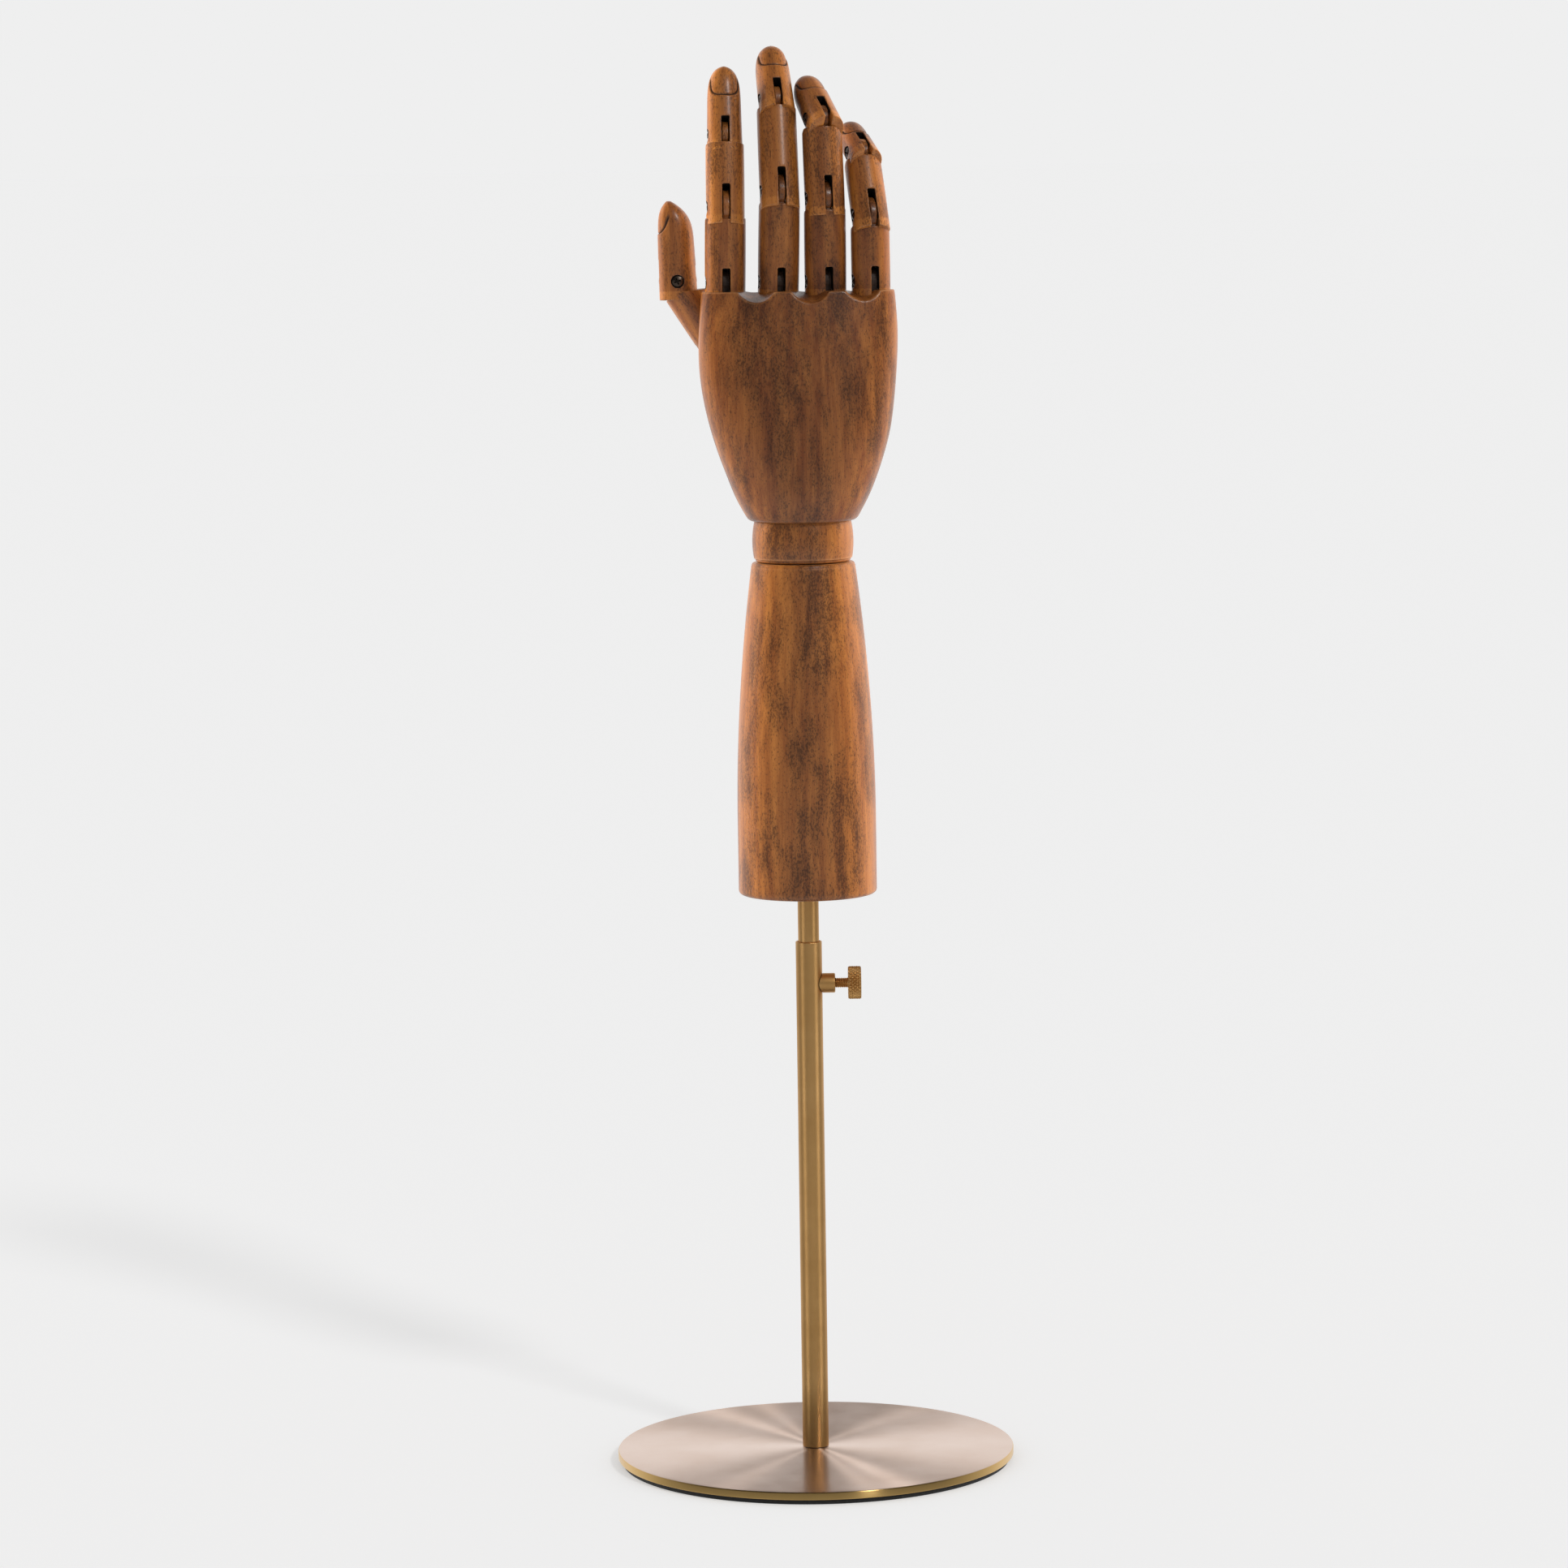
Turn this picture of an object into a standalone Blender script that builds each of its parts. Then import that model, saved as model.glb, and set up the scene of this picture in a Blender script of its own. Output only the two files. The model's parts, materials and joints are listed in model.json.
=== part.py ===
"""Jointed wooden display hand on a turned forearm and a telescoping brass stand.

Every length below is in millimetres and is turned into metres when a mesh is made.
The origin is the floor under the middle of the base disc, +Z is up, the back of
the hand faces -Y and the thumb is on the -X side (a right hand).
"""
import math

import bmesh
import bpy
import numpy as np
from mathutils import Matrix, Vector

MM = 0.001
GAP = 0.3              # clearance between neighbouring pieces

# ---- stand ---------------------------------------------------------------
DISC_R = 76.0
DISC_T = 3.0
PAD_R = 74.5
PAD_T = 2.0
TUBE_R = 5.0
TUBE_BORE = 4.3
TUBE_TOP = 201.2
ROD_R = 4.0
ROD_BOTTOM = 38.0
ROD_TOP = 243.0
CLAMP_Z = 185.0
BOSS_R = 3.75
BOSS_END = 9.9
KNOB_R = 6.3
KNOB_START = 14.8
KNOB_T = 5.0
CLAMP_SHANK_R = 1.95

# ---- forearm and wrist ----------------------------------------------------
FOREARM_BOTTOM = 219.8
FOREARM_TOP = 346.2
FOREARM_R = 26.3
FOREARM_NARROWING = 6.8
TAPER_START = 250.0
INSERT_R = 6.5
INSERT_LENGTH = 25.0
SHAFT_BORE = 5.6       # long bore up the forearm, for the washer and nut
WEB_LOW = 326.0
WEB_HIGH = 331.0
WRIST_Z = 354.0        # centre of the wrist bead and of both palm tilt axes
BEAD_R = 19.15
BEAD_BALL_R = 19.9
SOCKET_R = 20.3
BEAD_HALF = 7.5
SPRING_R = 3.0
SPRING_WIRE = 0.55

# ---- palm: height, half width, sideways centre, half depth, roundness -----
PALM_STATIONS = (
    (361.9, 19.5, 0.0, 19.5, 2.0),
    (362.5, 20.6, 0.0, 20.4, 2.0),
    (363.9, 21.5, 0.0, 21.1, 2.0),
    (370.0, 24.8, 0.0, 22.0, 2.05),
    (377.4, 27.9, 0.1, 22.4, 2.1),
    (385.5, 30.8, 0.0, 22.4, 2.15),
    (395.0, 33.6, -0.2, 22.0, 2.25),
    (407.0, 35.9, -0.7, 21.0, 2.3),
    (419.0, 37.2, -0.9, 19.4, 2.4),
    (434.0, 37.4, -0.6, 17.0, 2.4),
    (443.6, 37.1, -0.5, 15.2, 2.4),
    (447.9, 36.4, -0.5, 14.3, 2.4),
    (448.4, 35.9, -0.5, 13.8, 2.4),
)
PALM_TOP = 448.4
TROUGHS = ((-16.9, 2.0), (1.9, 9.0), (19.4, 22.0))      # x of middle, fan in degrees
TROUGH_R = 8.3
TROUGH_DEPTH = 3.8
TROUGH_FRONT = -14.2       # y of the front edge, where a trough is deepest
TROUGH_RISE = 15.0         # degrees that a trough climbs towards the middle
PALM_CHAMFER = 27.0    # chamfer on the palm side that lets the fingers fold

# ---- joints in the fingers ------------------------------------------------
KNUCKLE_H = 3.3        # hinge above the flat below it: knuckle, middle, end joint
MIDDLE_H = 4.0
END_H = 3.5
KNUCKLE_TONGUE = 4.9
MIDDLE_TONGUE = 6.6
END_TONGUE = 5.3
SLOT_W = 3.0
SWING = 70.0               # most that any hinge folds, in degrees
BEVEL = 45.0           # palmar bevel under every upper segment
PIN_R = 1.15
HEAD_R = 2.1

# name: x and y of the knuckle, lean and yaw in degrees, hinge to hinge lengths,
# rest bends, twist of the last two hinges, and half widths at the two ends
FINGERS = {
    "index": dict(x=-27.8, lean=1.0, yaw=4.0, lengths=(28.1, 27.4, 26.3),
                  bends=(0.0, 12.0, 5.0), twists=(0.0, 0.0),
                  radii=((7.6, 7.6), (7.2, 7.15), (6.75, 6.1))),
    "middle": dict(x=-7.8, lean=1.5, yaw=9.0, lengths=(33.6, 35.8, 24.6),
                   bends=(0.0, 18.0, 22.0), twists=(0.0, 0.0),
                   radii=((7.7, 7.65), (7.45, 7.3), (6.85, 6.2))),
    "ring": dict(x=9.9, lean=0.2, yaw=11.0, lengths=(31.0, 29.8, 24.2),
                 bends=(0.0, 8.0, 47.0), twists=(2.0, 6.0),
                 radii=((7.8, 7.75), (7.5, 7.35), (6.8, 6.1))),
    "little": dict(x=27.0, lean=-0.4, yaw=13.0, lengths=(24.6, 25.4, 18.6),
                   bends=(0.0, 25.0, 36.0), twists=(1.0, 5.0),
                   radii=((7.25, 7.2), (6.95, 6.8), (6.15, 5.6))),
}
THUMB_HINGE = (-29.2, 15.3, 426.5)
THUMB_LEAN = 33.0      # proximal segment leans out by this at rest
THUMB_SEAT_LEAN = 55.0  # direction that the palm's shoulder faces
THUMB_BEND = 31.0
THUMB_LENGTHS = (30.6, 30.2)

COLOURS = {
    "stained_wood": ((0.30, 0.125, 0.05), 0.38, 0.0),
    "hinge_wood": ((0.10, 0.045, 0.02), 0.55, 0.0),
    "satin_brass": ((0.66, 0.47, 0.24), 0.32, 1.0),
    "black_steel": ((0.02, 0.018, 0.017), 0.42, 1.0),
    "plain_steel": ((0.55, 0.54, 0.52), 0.35, 1.0),
    "rubber_pad": ((0.016, 0.016, 0.016), 0.85, 0.0),
}


def clear_scene():
    """Remove whatever the scene holds."""
    for item in list(bpy.data.objects):
        bpy.data.objects.remove(item, do_unlink=True)


def finish_for(name):
    """Return the Principled material of a finish, made on first use."""
    found = bpy.data.materials.get(name)
    if found:
        return found
    colour, rough, metal = COLOURS[name]
    made = bpy.data.materials.new(name)
    made.use_nodes = True
    shader = made.node_tree.nodes["Principled BSDF"]
    shader.inputs["Base Color"].default_value = (*colour, 1.0)
    shader.inputs["Roughness"].default_value = rough
    shader.inputs["Metallic"].default_value = metal
    return made


def place(points, frame):
    """Carry points by a 4x4 frame in millimetres."""
    points = np.asarray(points, dtype=float)
    return points @ frame[:3, :3].T + frame[:3, 3]


def shift(x=0.0, y=0.0, z=0.0):
    """Frame that only moves."""
    frame = np.eye(4)
    frame[:3, 3] = (x, y, z)
    return frame


def turn(axis, degrees):
    """Frame that turns about X, Y or Z."""
    return np.array(Matrix.Rotation(math.radians(degrees), 4, axis))


def lathe(profile, segments=32):
    """Turn a closed outline of (radius, height) about Z; radius 0 makes a pole."""
    verts, faces, rows = [], [], []
    angles = np.linspace(0.0, 2.0 * math.pi, segments, endpoint=False)
    for radius, height in profile:
        if radius < 1e-9:
            rows.append([len(verts)])
            verts.append((0.0, 0.0, height))
        else:
            rows.append(list(range(len(verts), len(verts) + segments)))
            verts.extend((radius * math.cos(a), radius * math.sin(a), height) for a in angles)
    closed = profile[0][0] > 1e-9
    last = len(rows) if closed else len(rows) - 1
    for k in range(last):
        low, high = rows[k], rows[(k + 1) % len(rows)]
        for i in range(segments):
            j = (i + 1) % segments
            if len(low) == 1:
                faces.append((low[0], high[j], high[i]))
            elif len(high) == 1:
                faces.append((low[i], low[j], high[0]))
            else:
                faces.append((low[i], low[j], high[j], high[i]))
    return np.array(verts), faces


def loft(rings):
    """Skin equal-sized closed rings and cap both ends."""
    count = len(rings[0])
    verts = np.vstack(rings)
    faces = [tuple(reversed(range(count)))]
    for k in range(len(rings) - 1):
        low, high = k * count, (k + 1) * count
        for i in range(count):
            j = (i + 1) % count
            faces.append((low + i, low + j, high + j, high + i))
    top = (len(rings) - 1) * count
    faces.append(tuple(range(top, top + count)))
    return verts, faces


def prism(outline, low, high):
    """Extrude a (y, z) outline along X from low to high."""
    rings = [[(x, y, z) for y, z in outline] for x in (low, high)]
    return loft([np.array(ring) for ring in rings])


def box(low, high):
    """Axis-aligned block between two corners."""
    outline = [(low[1], low[2]), (high[1], low[2]), (high[1], high[2]), (low[1], high[2])]
    return prism(outline, low[0], high[0])


def oval(half_x, half_y, z, y=0.0, x=0.0, power=2.0, count=24):
    """Closed superellipse ring at one height."""
    a = np.linspace(0.0, 2.0 * math.pi, count, endpoint=False)
    c, s = np.cos(a), np.sin(a)
    px = x + half_x * np.sign(c) * np.abs(c) ** (2.0 / power)
    py = y + half_y * np.sign(s) * np.abs(s) ** (2.0 / power)
    return np.column_stack([px, py, np.full(count, z)])


def raw_object(name, shape, frame=None):
    """Make a plain object from (points, faces) in millimetres."""
    points, faces = shape
    if frame is not None:
        points = place(points, frame)
    mesh = bpy.data.meshes.new(name)
    mesh.from_pydata([tuple(p) for p in np.asarray(points)], [], faces)
    work = bmesh.new()
    work.from_mesh(mesh)
    bmesh.ops.triangulate(work, faces=work.faces)
    bmesh.ops.recalc_face_normals(work, faces=work.faces)
    work.to_mesh(mesh)
    work.free()
    item = bpy.data.objects.new(name, mesh)
    bpy.context.scene.collection.objects.link(item)
    return item


def combine(item, tools, operation="DIFFERENCE"):
    """Cut or join other shapes into an object and keep the finished mesh."""
    for shape, frame in tools:
        cutter = raw_object("cutter", shape, frame)
        cutter.hide_render = True
        cutter.display_type = "WIRE"
        modifier = item.modifiers.new("shape", "BOOLEAN")
        modifier.solver = "EXACT"
        modifier.operation = operation
        modifier.object = cutter
        view = bpy.context.evaluated_depsgraph_get()
        finished = bpy.data.meshes.new_from_object(item.evaluated_get(view))
        item.modifiers.remove(modifier)
        old = item.data
        item.data = finished
        bpy.data.meshes.remove(old)
        bpy.data.objects.remove(cutter, do_unlink=True)
    return item


def settle(item, finish, origin=(0.0, 0.0, 0.0), frame=None):
    """Clean the mesh, set it in its frame, give it its finish and its origin."""
    work = bmesh.new()
    work.from_mesh(item.data)
    bmesh.ops.remove_doubles(work, verts=work.verts, dist=0.005)
    bmesh.ops.dissolve_limit(work, angle_limit=0.002, verts=work.verts, edges=work.edges)
    bmesh.ops.triangulate(work, faces=work.faces)
    bmesh.ops.recalc_face_normals(work, faces=work.faces)
    if frame is not None:
        bmesh.ops.transform(work, matrix=Matrix(frame.tolist()), verts=work.verts)
    bmesh.ops.translate(work, vec=-Vector(origin), verts=work.verts)
    bmesh.ops.scale(work, vec=(MM, MM, MM), verts=work.verts)
    work.to_mesh(item.data)
    work.free()
    item.data.materials.clear()
    item.data.materials.append(finish_for(finish))
    item.location = Vector(origin) * MM
    return item


def turned(name, finish, profile, frame=None, segments=32, origin=(0.0, 0.0, 0.0)):
    """Make a lathe-turned piece in one call."""
    return settle(raw_object(name, lathe(profile, segments), frame), finish, origin)


def build_stand():
    """Base disc, pad, fixing screw, tube, clamp and sliding rod."""
    disc_low, disc_top = PAD_T, PAD_T + DISC_T
    turned("base_pad", "rubber_pad", [(8.5, 0.0), (PAD_R - 0.4, 0.0), (PAD_R, 0.4),
                                      (PAD_R, PAD_T - GAP), (8.5, PAD_T - GAP)], segments=48)
    turned("base_disc", "satin_brass", [
        (2.35, disc_low), (DISC_R - 0.5, disc_low), (DISC_R, disc_low + 0.5),
        (DISC_R, disc_top - 0.6), (DISC_R - 0.6, disc_top), (2.35, disc_top)], segments=64)
    turned("tube_plug", "satin_brass", [
        (2.35, disc_top + GAP), (TUBE_BORE - GAP, disc_top + GAP), (TUBE_BORE - GAP, 18.5),
        (3.5, 19.0), (2.35, 19.0)], segments=20)
    screw_profile = [(0.0, 0.4), (4.2, 0.4), (4.5, 0.7), (4.5, disc_low - GAP),
                     (2.05, disc_low - GAP), (2.05, 15.5), (1.5, 16.5), (0.0, 16.5)]
    screw = raw_object("base_screw", lathe(screw_profile, 18))
    hexagon = [(2.2 * math.cos(a), 2.2 * math.sin(a)) for a in np.arange(6) * math.pi / 3]
    socket = loft([np.array([(x, y, z) for x, y in hexagon]) for z in (0.0, 1.1)])
    settle(combine(screw, [(socket, None)]), "black_steel")
    tube = raw_object("stand_tube", lathe([
        (TUBE_R, disc_top + GAP), (TUBE_R, TUBE_TOP - 0.4), (TUBE_R - 0.3, TUBE_TOP),
        (TUBE_BORE, TUBE_TOP), (TUBE_BORE, disc_top + GAP)], 32))
    across = shift(z=CLAMP_Z) @ turn("Y", 90.0)
    hole = lathe([(0.0, 0.0), (2.3, 0.0), (2.3, 8.0), (0.0, 8.0)], 16)
    settle(combine(tube, [(hole, across)]), "satin_brass")
    boss = raw_object("screw_boss", lathe([
        (2.3, 2.0), (BOSS_R, 2.0), (BOSS_R, BOSS_END - 0.4), (BOSS_R - 0.4, BOSS_END),
        (2.3, BOSS_END)], 24), across)
    saddle = lathe([(0.0, CLAMP_Z - 8), (TUBE_R + GAP, CLAMP_Z - 8), (TUBE_R + GAP, CLAMP_Z + 8),
                    (0.0, CLAMP_Z + 8)], 32)
    settle(combine(boss, [(saddle, None)]), "satin_brass")
    turned("clamp_tip", "plain_steel", [
        (0.0, 4.05), (1.0, 4.05), (1.4, 4.4), (1.4, 5.2), (0.0, 5.2)], across, 16,
        (4.0, 0.0, CLAMP_Z))
    knob_end = KNOB_START + KNOB_T
    knob_points = lathe([
        (0.0, 5.5), (1.6, 5.5), (CLAMP_SHANK_R, 5.9), (CLAMP_SHANK_R, KNOB_START),
        (KNOB_R - 0.5, KNOB_START), (KNOB_R, KNOB_START + 0.5), (KNOB_R, knob_end - 0.5),
        (KNOB_R - 0.5, knob_end), (2.2, knob_end), (0.0, knob_end - 0.3)], 32)
    points, faces = knob_points
    radial = np.hypot(points[:, 0], points[:, 1])
    step = np.arange(len(points)) % 2
    ridge = np.where((radial > KNOB_R - 0.2) & (step == 0), (KNOB_R - 0.35) / KNOB_R, 1.0)
    points[:, :2] *= ridge[:, None]
    settle(raw_object("thumb_screw", (points, faces), across), "satin_brass",
           (KNOB_START, 0.0, CLAMP_Z))
    turned("stand_rod", "satin_brass", [
        (0.0, ROD_BOTTOM), (ROD_R - 0.8, ROD_BOTTOM), (ROD_R, ROD_BOTTOM + 0.8),
        (ROD_R, ROD_TOP - 1.0), (ROD_R - 1.0, ROD_TOP), (0.0, ROD_TOP)], None, 32,
        (0.0, 0.0, ROD_BOTTOM))


def forearm_radius(z):
    """Outer radius of the forearm: straight below, narrowing towards the wrist."""
    along = max(0.0, (z - TAPER_START) / (FOREARM_TOP - TAPER_START))
    return FOREARM_R - FOREARM_NARROWING * along ** 1.9


def build_forearm():
    """Turned forearm with its bores, and the brass insert in its foot."""
    outer = [(FOREARM_R - 1.5, FOREARM_BOTTOM), (FOREARM_R - 0.4, FOREARM_BOTTOM + 0.5),
             (FOREARM_R, FOREARM_BOTTOM + 1.6)]
    outer += [(forearm_radius(z), z) for z in np.linspace(TAPER_START, FOREARM_TOP - 1.2, 7)]
    outer += [(forearm_radius(FOREARM_TOP) - 0.35, FOREARM_TOP - 0.35),
              (forearm_radius(FOREARM_TOP) - 1.2, FOREARM_TOP)]
    inner = [(SHAFT_BORE, FOREARM_TOP), (SHAFT_BORE, WEB_HIGH), (2.3, WEB_HIGH),
             (2.3, WEB_LOW), (SHAFT_BORE, WEB_LOW),
             (SHAFT_BORE, FOREARM_BOTTOM + INSERT_LENGTH + 1.0),
             (INSERT_R + GAP, FOREARM_BOTTOM + INSERT_LENGTH + 1.0),
             (INSERT_R + GAP, FOREARM_BOTTOM)]
    turned("forearm", "stained_wood", outer + inner, segments=36,
           origin=(0.0, 0.0, FOREARM_BOTTOM))
    low, high = FOREARM_BOTTOM + 0.6, FOREARM_BOTTOM + INSERT_LENGTH
    barbs = [(ROD_R + GAP, low), (INSERT_R - 0.3, low)]
    for z in np.arange(low + 3.0, high - 2.0, 5.0):
        barbs += [(INSERT_R, z), (INSERT_R - 0.5, z + 1.2)]
    barbs += [(INSERT_R - 0.3, high), (ROD_R + GAP, high)]
    turned("forearm_insert", "satin_brass", barbs, segments=24,
           origin=(0.0, 0.0, FOREARM_BOTTOM))


def ring_eye(radius, wire, z, around=12, section=6):
    """Closed wire ring standing upright in the XZ plane."""
    a = np.linspace(0.0, 2.0 * math.pi, around, endpoint=False)
    b = np.linspace(0.0, 2.0 * math.pi, section, endpoint=False)
    reach = radius + wire * np.cos(b)[None, :]
    x = reach * np.cos(a)[:, None]
    height = z + reach * np.sin(a)[:, None]
    y = np.broadcast_to(wire * np.sin(b)[None, :], x.shape)
    points = np.stack([x, y, height], axis=-1).reshape(-1, 3)
    faces = []
    for i in range(around):
        for j in range(section):
            k, m = (i + 1) % around, (j + 1) % section
            faces.append((i * section + j, k * section + j, k * section + m, i * section + m))
    return points, faces


def coil(low, high, turns, steps=11, section=6):
    """Round wire wound about Z with capped ends."""
    count = int(turns * steps) + 1
    t = np.linspace(0.0, 1.0, count)
    angle = 2.0 * math.pi * turns * t
    rings = []
    for a, z in zip(angle, low + (high - low) * t):
        out = np.array([math.cos(a), math.sin(a), 0.0])
        b = np.linspace(0.0, 2.0 * math.pi, section, endpoint=False)
        section_points = (np.outer(SPRING_R + SPRING_WIRE * np.cos(b), out)
                          + np.outer(SPRING_WIRE * np.sin(b), (0.0, 0.0, 1.0)))
        rings.append(section_points + np.array([0.0, 0.0, z]))
    return loft(rings)


def build_wrist():
    """Bead, swivelling eye bolt with washer and nut, and the pull spring."""
    ball = []
    for degrees in (66.5, 58.0, 49.0, 40.0, 30.5):
        a = math.radians(degrees)
        ball.append((BEAD_BALL_R * math.sin(a), WRIST_Z + BEAD_BALL_R * math.cos(a)))
    profile = [(17.4, WRIST_Z - BEAD_HALF), (18.25, WRIST_Z - BEAD_HALF + 0.8),
               (18.75, WRIST_Z - 4.2), (BEAD_R, WRIST_Z), (18.8, WRIST_Z + 4.2)]
    profile += ball + [(5.6, WRIST_Z + 2.0), (5.6, WRIST_Z - BEAD_HALF)]
    turned("wrist_bead", "stained_wood", profile, segments=36, origin=(0.0, 0.0, WRIST_Z))
    shank = lathe([(0.0, 315.0), (1.7, 315.0), (1.95, 315.5), (1.95, 334.6), (0.0, 334.6)], 14)
    bolt = raw_object("wrist_eye_bolt", ring_eye(2.7, 0.85, 337.8))
    settle(combine(bolt, [(shank, None)], "UNION"), "plain_steel", (0.0, 0.0, WRIST_Z))
    turned("wrist_washer", "plain_steel", [(2.25, 324.7), (4.8, 324.7), (4.8, 325.7),
                                           (2.25, 325.7)], segments=20,
           origin=(0.0, 0.0, WRIST_Z))
    nut = [(2.25, 321.2), (4.0, 321.2), (4.0, 324.4), (2.25, 324.4)]
    turned("wrist_nut", "plain_steel", nut, segments=6, origin=(0.0, 0.0, WRIST_Z))
    spring = raw_object("wrist_spring", coil(342.2, 374.6, 8.5, 8, 4))
    settle(spring, "plain_steel", (0.0, 0.0, WRIST_Z))


def tongue_outline(radius, foot_low=None, foot_half=None, count=18):
    """Round-topped hinge tongue outline in (y, z) about its hinge."""
    if foot_low is None:
        a = np.linspace(0.0, 2.0 * math.pi, count, endpoint=False)
        return [(radius * math.cos(t), radius * math.sin(t)) for t in a]
    start = -math.acos(foot_half / radius)
    a = np.linspace(start, math.pi - start, count)
    arc = [(radius * math.cos(t), radius * math.sin(t)) for t in a]
    return [(foot_half, foot_low)] + arc + [(-foot_half, foot_low)]


def pin_hole(radius, half, head_side):
    """Stepped hole for a hinge screw, along X and open on the head's side."""
    wall = half - 1.7
    profile = [(0.0, -wall + 0.2), (radius, -wall + 0.2), (radius, wall - 0.05),
               (HEAD_R + GAP, wall - 0.05), (HEAD_R + GAP, half + 4.0), (0.0, half + 4.0)]
    return lathe(profile, 12), turn("Y", 90.0 * head_side) @ turn("Z", 8.0)


def hinge_screw(name, frame, half, head_side, origin):
    """Black cross-head screw that is the hinge of one joint."""
    seat = half - 1.45
    profile = [(0.0, -(half - 2.2)), (PIN_R, -(half - 2.2)), (PIN_R, seat), (HEAD_R, seat),
               (HEAD_R, seat + 0.7), (0.0, seat + 1.3)]
    screw = raw_object(name, lathe(profile, 10))
    wide, thin = 1.25, 0.26
    corners = [(wide, -thin), (wide, thin), (thin, thin), (thin, wide), (-thin, wide),
               (-thin, thin), (-wide, thin), (-wide, -thin), (-thin, -thin), (-thin, -wide),
               (thin, -wide), (thin, -thin)]
    cross = loft([np.array([(x, y, z) for x, y in corners]) for z in (seat + 0.45, seat + 2.0)])
    combine(screw, [(cross, turn("Z", 11.0))])
    settle(screw, "black_steel", origin, frame @ turn("Y", 90.0 * head_side))


def lower_cut(rise, reach=11.0):
    """Outline removed under an upper segment: flat behind, arc, then the bevel."""
    angles = np.radians(np.linspace(0.0, BEVEL, 4))
    arc = [(rise * math.sin(a), -rise * math.cos(a)) for a in angles]
    last_y, last_z = arc[-1]
    run = reach - last_y
    end = (reach, last_z + run * math.tan(math.radians(BEVEL)))
    return [(-reach, -rise)] + arc + [end, (reach, -30.0), (-reach, -30.0)]


def upper_cut(rise, reach=11.0):
    """Outline removed above a lower segment: flat behind, chamfer on the palm side."""
    slope = math.tan(math.radians(PALM_CHAMFER))
    start = -rise * math.tan(math.radians(PALM_CHAMFER / 2.0))
    end = (reach, -rise - (reach - start) * slope)
    return [(-reach, -rise), (start, -rise), end, (reach, 30.0), (-reach, 30.0)]


def slot_outline(tongue, reach=11.5):
    """Outline of a segment's slot: flat roof behind, round over the tongue in front.

    The front roof keeps clear of the tongue and of its foot when the hinge is folded by
    SWING degrees, and it closes the slot, so no light passes over the tongue.
    """
    roof, near = tongue + GAP + 0.35, tongue + GAP
    swing = math.radians(SWING)
    angles = np.linspace(math.pi / 2.0 - swing, 0.0, 4)
    arc = [(near * math.sin(a), near * math.cos(a)) for a in angles]
    run = (reach - arc[0][0]) / math.sin(swing)
    end = (reach, arc[0][1] - run * math.cos(swing))
    return [(-reach, -20.0), (reach, -20.0), end] + arc + [(0.0, roof), (-reach, roof)]


def tip_rings(low, high, half_low, half_high, count):
    """Rings of a fingertip: straight nail side, full belly, rounded end."""
    shape = ((0.0, 1.0, 1.0, 1.0), (0.47, 1.0, 1.0, 1.0), (0.64, 0.98, 0.98, 0.93),
             (0.78, 0.93, 0.95, 0.78), (0.89, 0.83, 0.90, 0.55), (0.955, 0.66, 0.80, 0.30),
             (0.99, 0.42, 0.62, 0.02), (1.0, 0.18, 0.48, -0.20))
    rings = []
    for along, wide, back, belly in shape:
        radius = half_low + (half_high - half_low) * along
        z = low + (high - low) * along
        centre = radius * (belly - back) / 2.0
        rings.append(oval(radius * wide, radius * (belly + back) / 2.0, z, centre, 0.0, 2.1, count))
    return rings


def segment(name, frame, length, radii, rise_low, rise_top, tongue_low, tongue_top,
            twist, head_side):
    """One finger segment with its slot below, its tongue above and its hinge screw.

    The frame sits on the segment's lower hinge: X along the hinge, -Y to the nail
    side, Z along the segment.  A segment with no rise_top is a fingertip.
    """
    half_low, half_high = radii
    count = 16
    if rise_top is None:
        rings = tip_rings(-7.0, length, half_low, half_high, count)
    else:
        rings = [oval(half_low, half_low, -7.0, count=count),
                 oval(half_high, half_high, length + 4.0, count=count)]
    item = raw_object(name, loft(rings))
    cuts = [(prism(lower_cut(rise_low - GAP), -12.0, 12.0), None),
            (prism(slot_outline(tongue_low), -SLOT_W / 2, SLOT_W / 2), None)]
    if rise_top is not None:
        upper = shift(z=length) @ turn("Z", twist)
        cuts.append((prism(upper_cut(rise_top), -12.0, 12.0), upper))
        combine(item, cuts)
        half_tongue = SLOT_W / 2 - GAP
        disc = prism(tongue_outline(tongue_top), -half_tongue, half_tongue)
        combine(item, [(disc, upper)], "UNION")
        hole = lathe([(0.0, -3.0), (PIN_R + GAP, -3.0), (PIN_R + GAP, 3.0), (0.0, 3.0)], 12)
        combine(item, [(hole, upper @ turn("Y", 90.0) @ turn("Z", 5.0))])
    else:
        combine(item, cuts)
    hole_shape, hole_turn = pin_hole(PIN_R + GAP, half_low, head_side)
    combine(item, [(hole_shape, hole_turn)])
    origin = tuple(frame[:3, 3])
    settle(item, "stained_wood", origin, frame)
    hinge_screw(name + "_screw", frame, half_low, head_side, origin)


def frame_of(origin, along, palmar):
    """Frame with Z along a segment and Y towards the side it folds to."""
    z = np.array(along) / np.linalg.norm(along)
    y = np.array(palmar) - np.dot(palmar, z) * z
    y /= np.linalg.norm(y)
    frame = np.eye(4)
    frame[:3, 0], frame[:3, 1], frame[:3, 2] = np.cross(y, z), y, z
    frame[:3, 3] = origin
    return frame


def finger_base(spec):
    """Frame on a finger's knuckle hinge."""
    lean, yaw = math.radians(spec["lean"]), math.radians(spec["yaw"])
    along = (math.sin(lean), 0.0, math.cos(lean))
    palmar = (-math.sin(yaw), math.cos(yaw), 0.0)
    return frame_of((spec["x"], 0.0, PALM_TOP + KNUCKLE_H), along, palmar)


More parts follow.
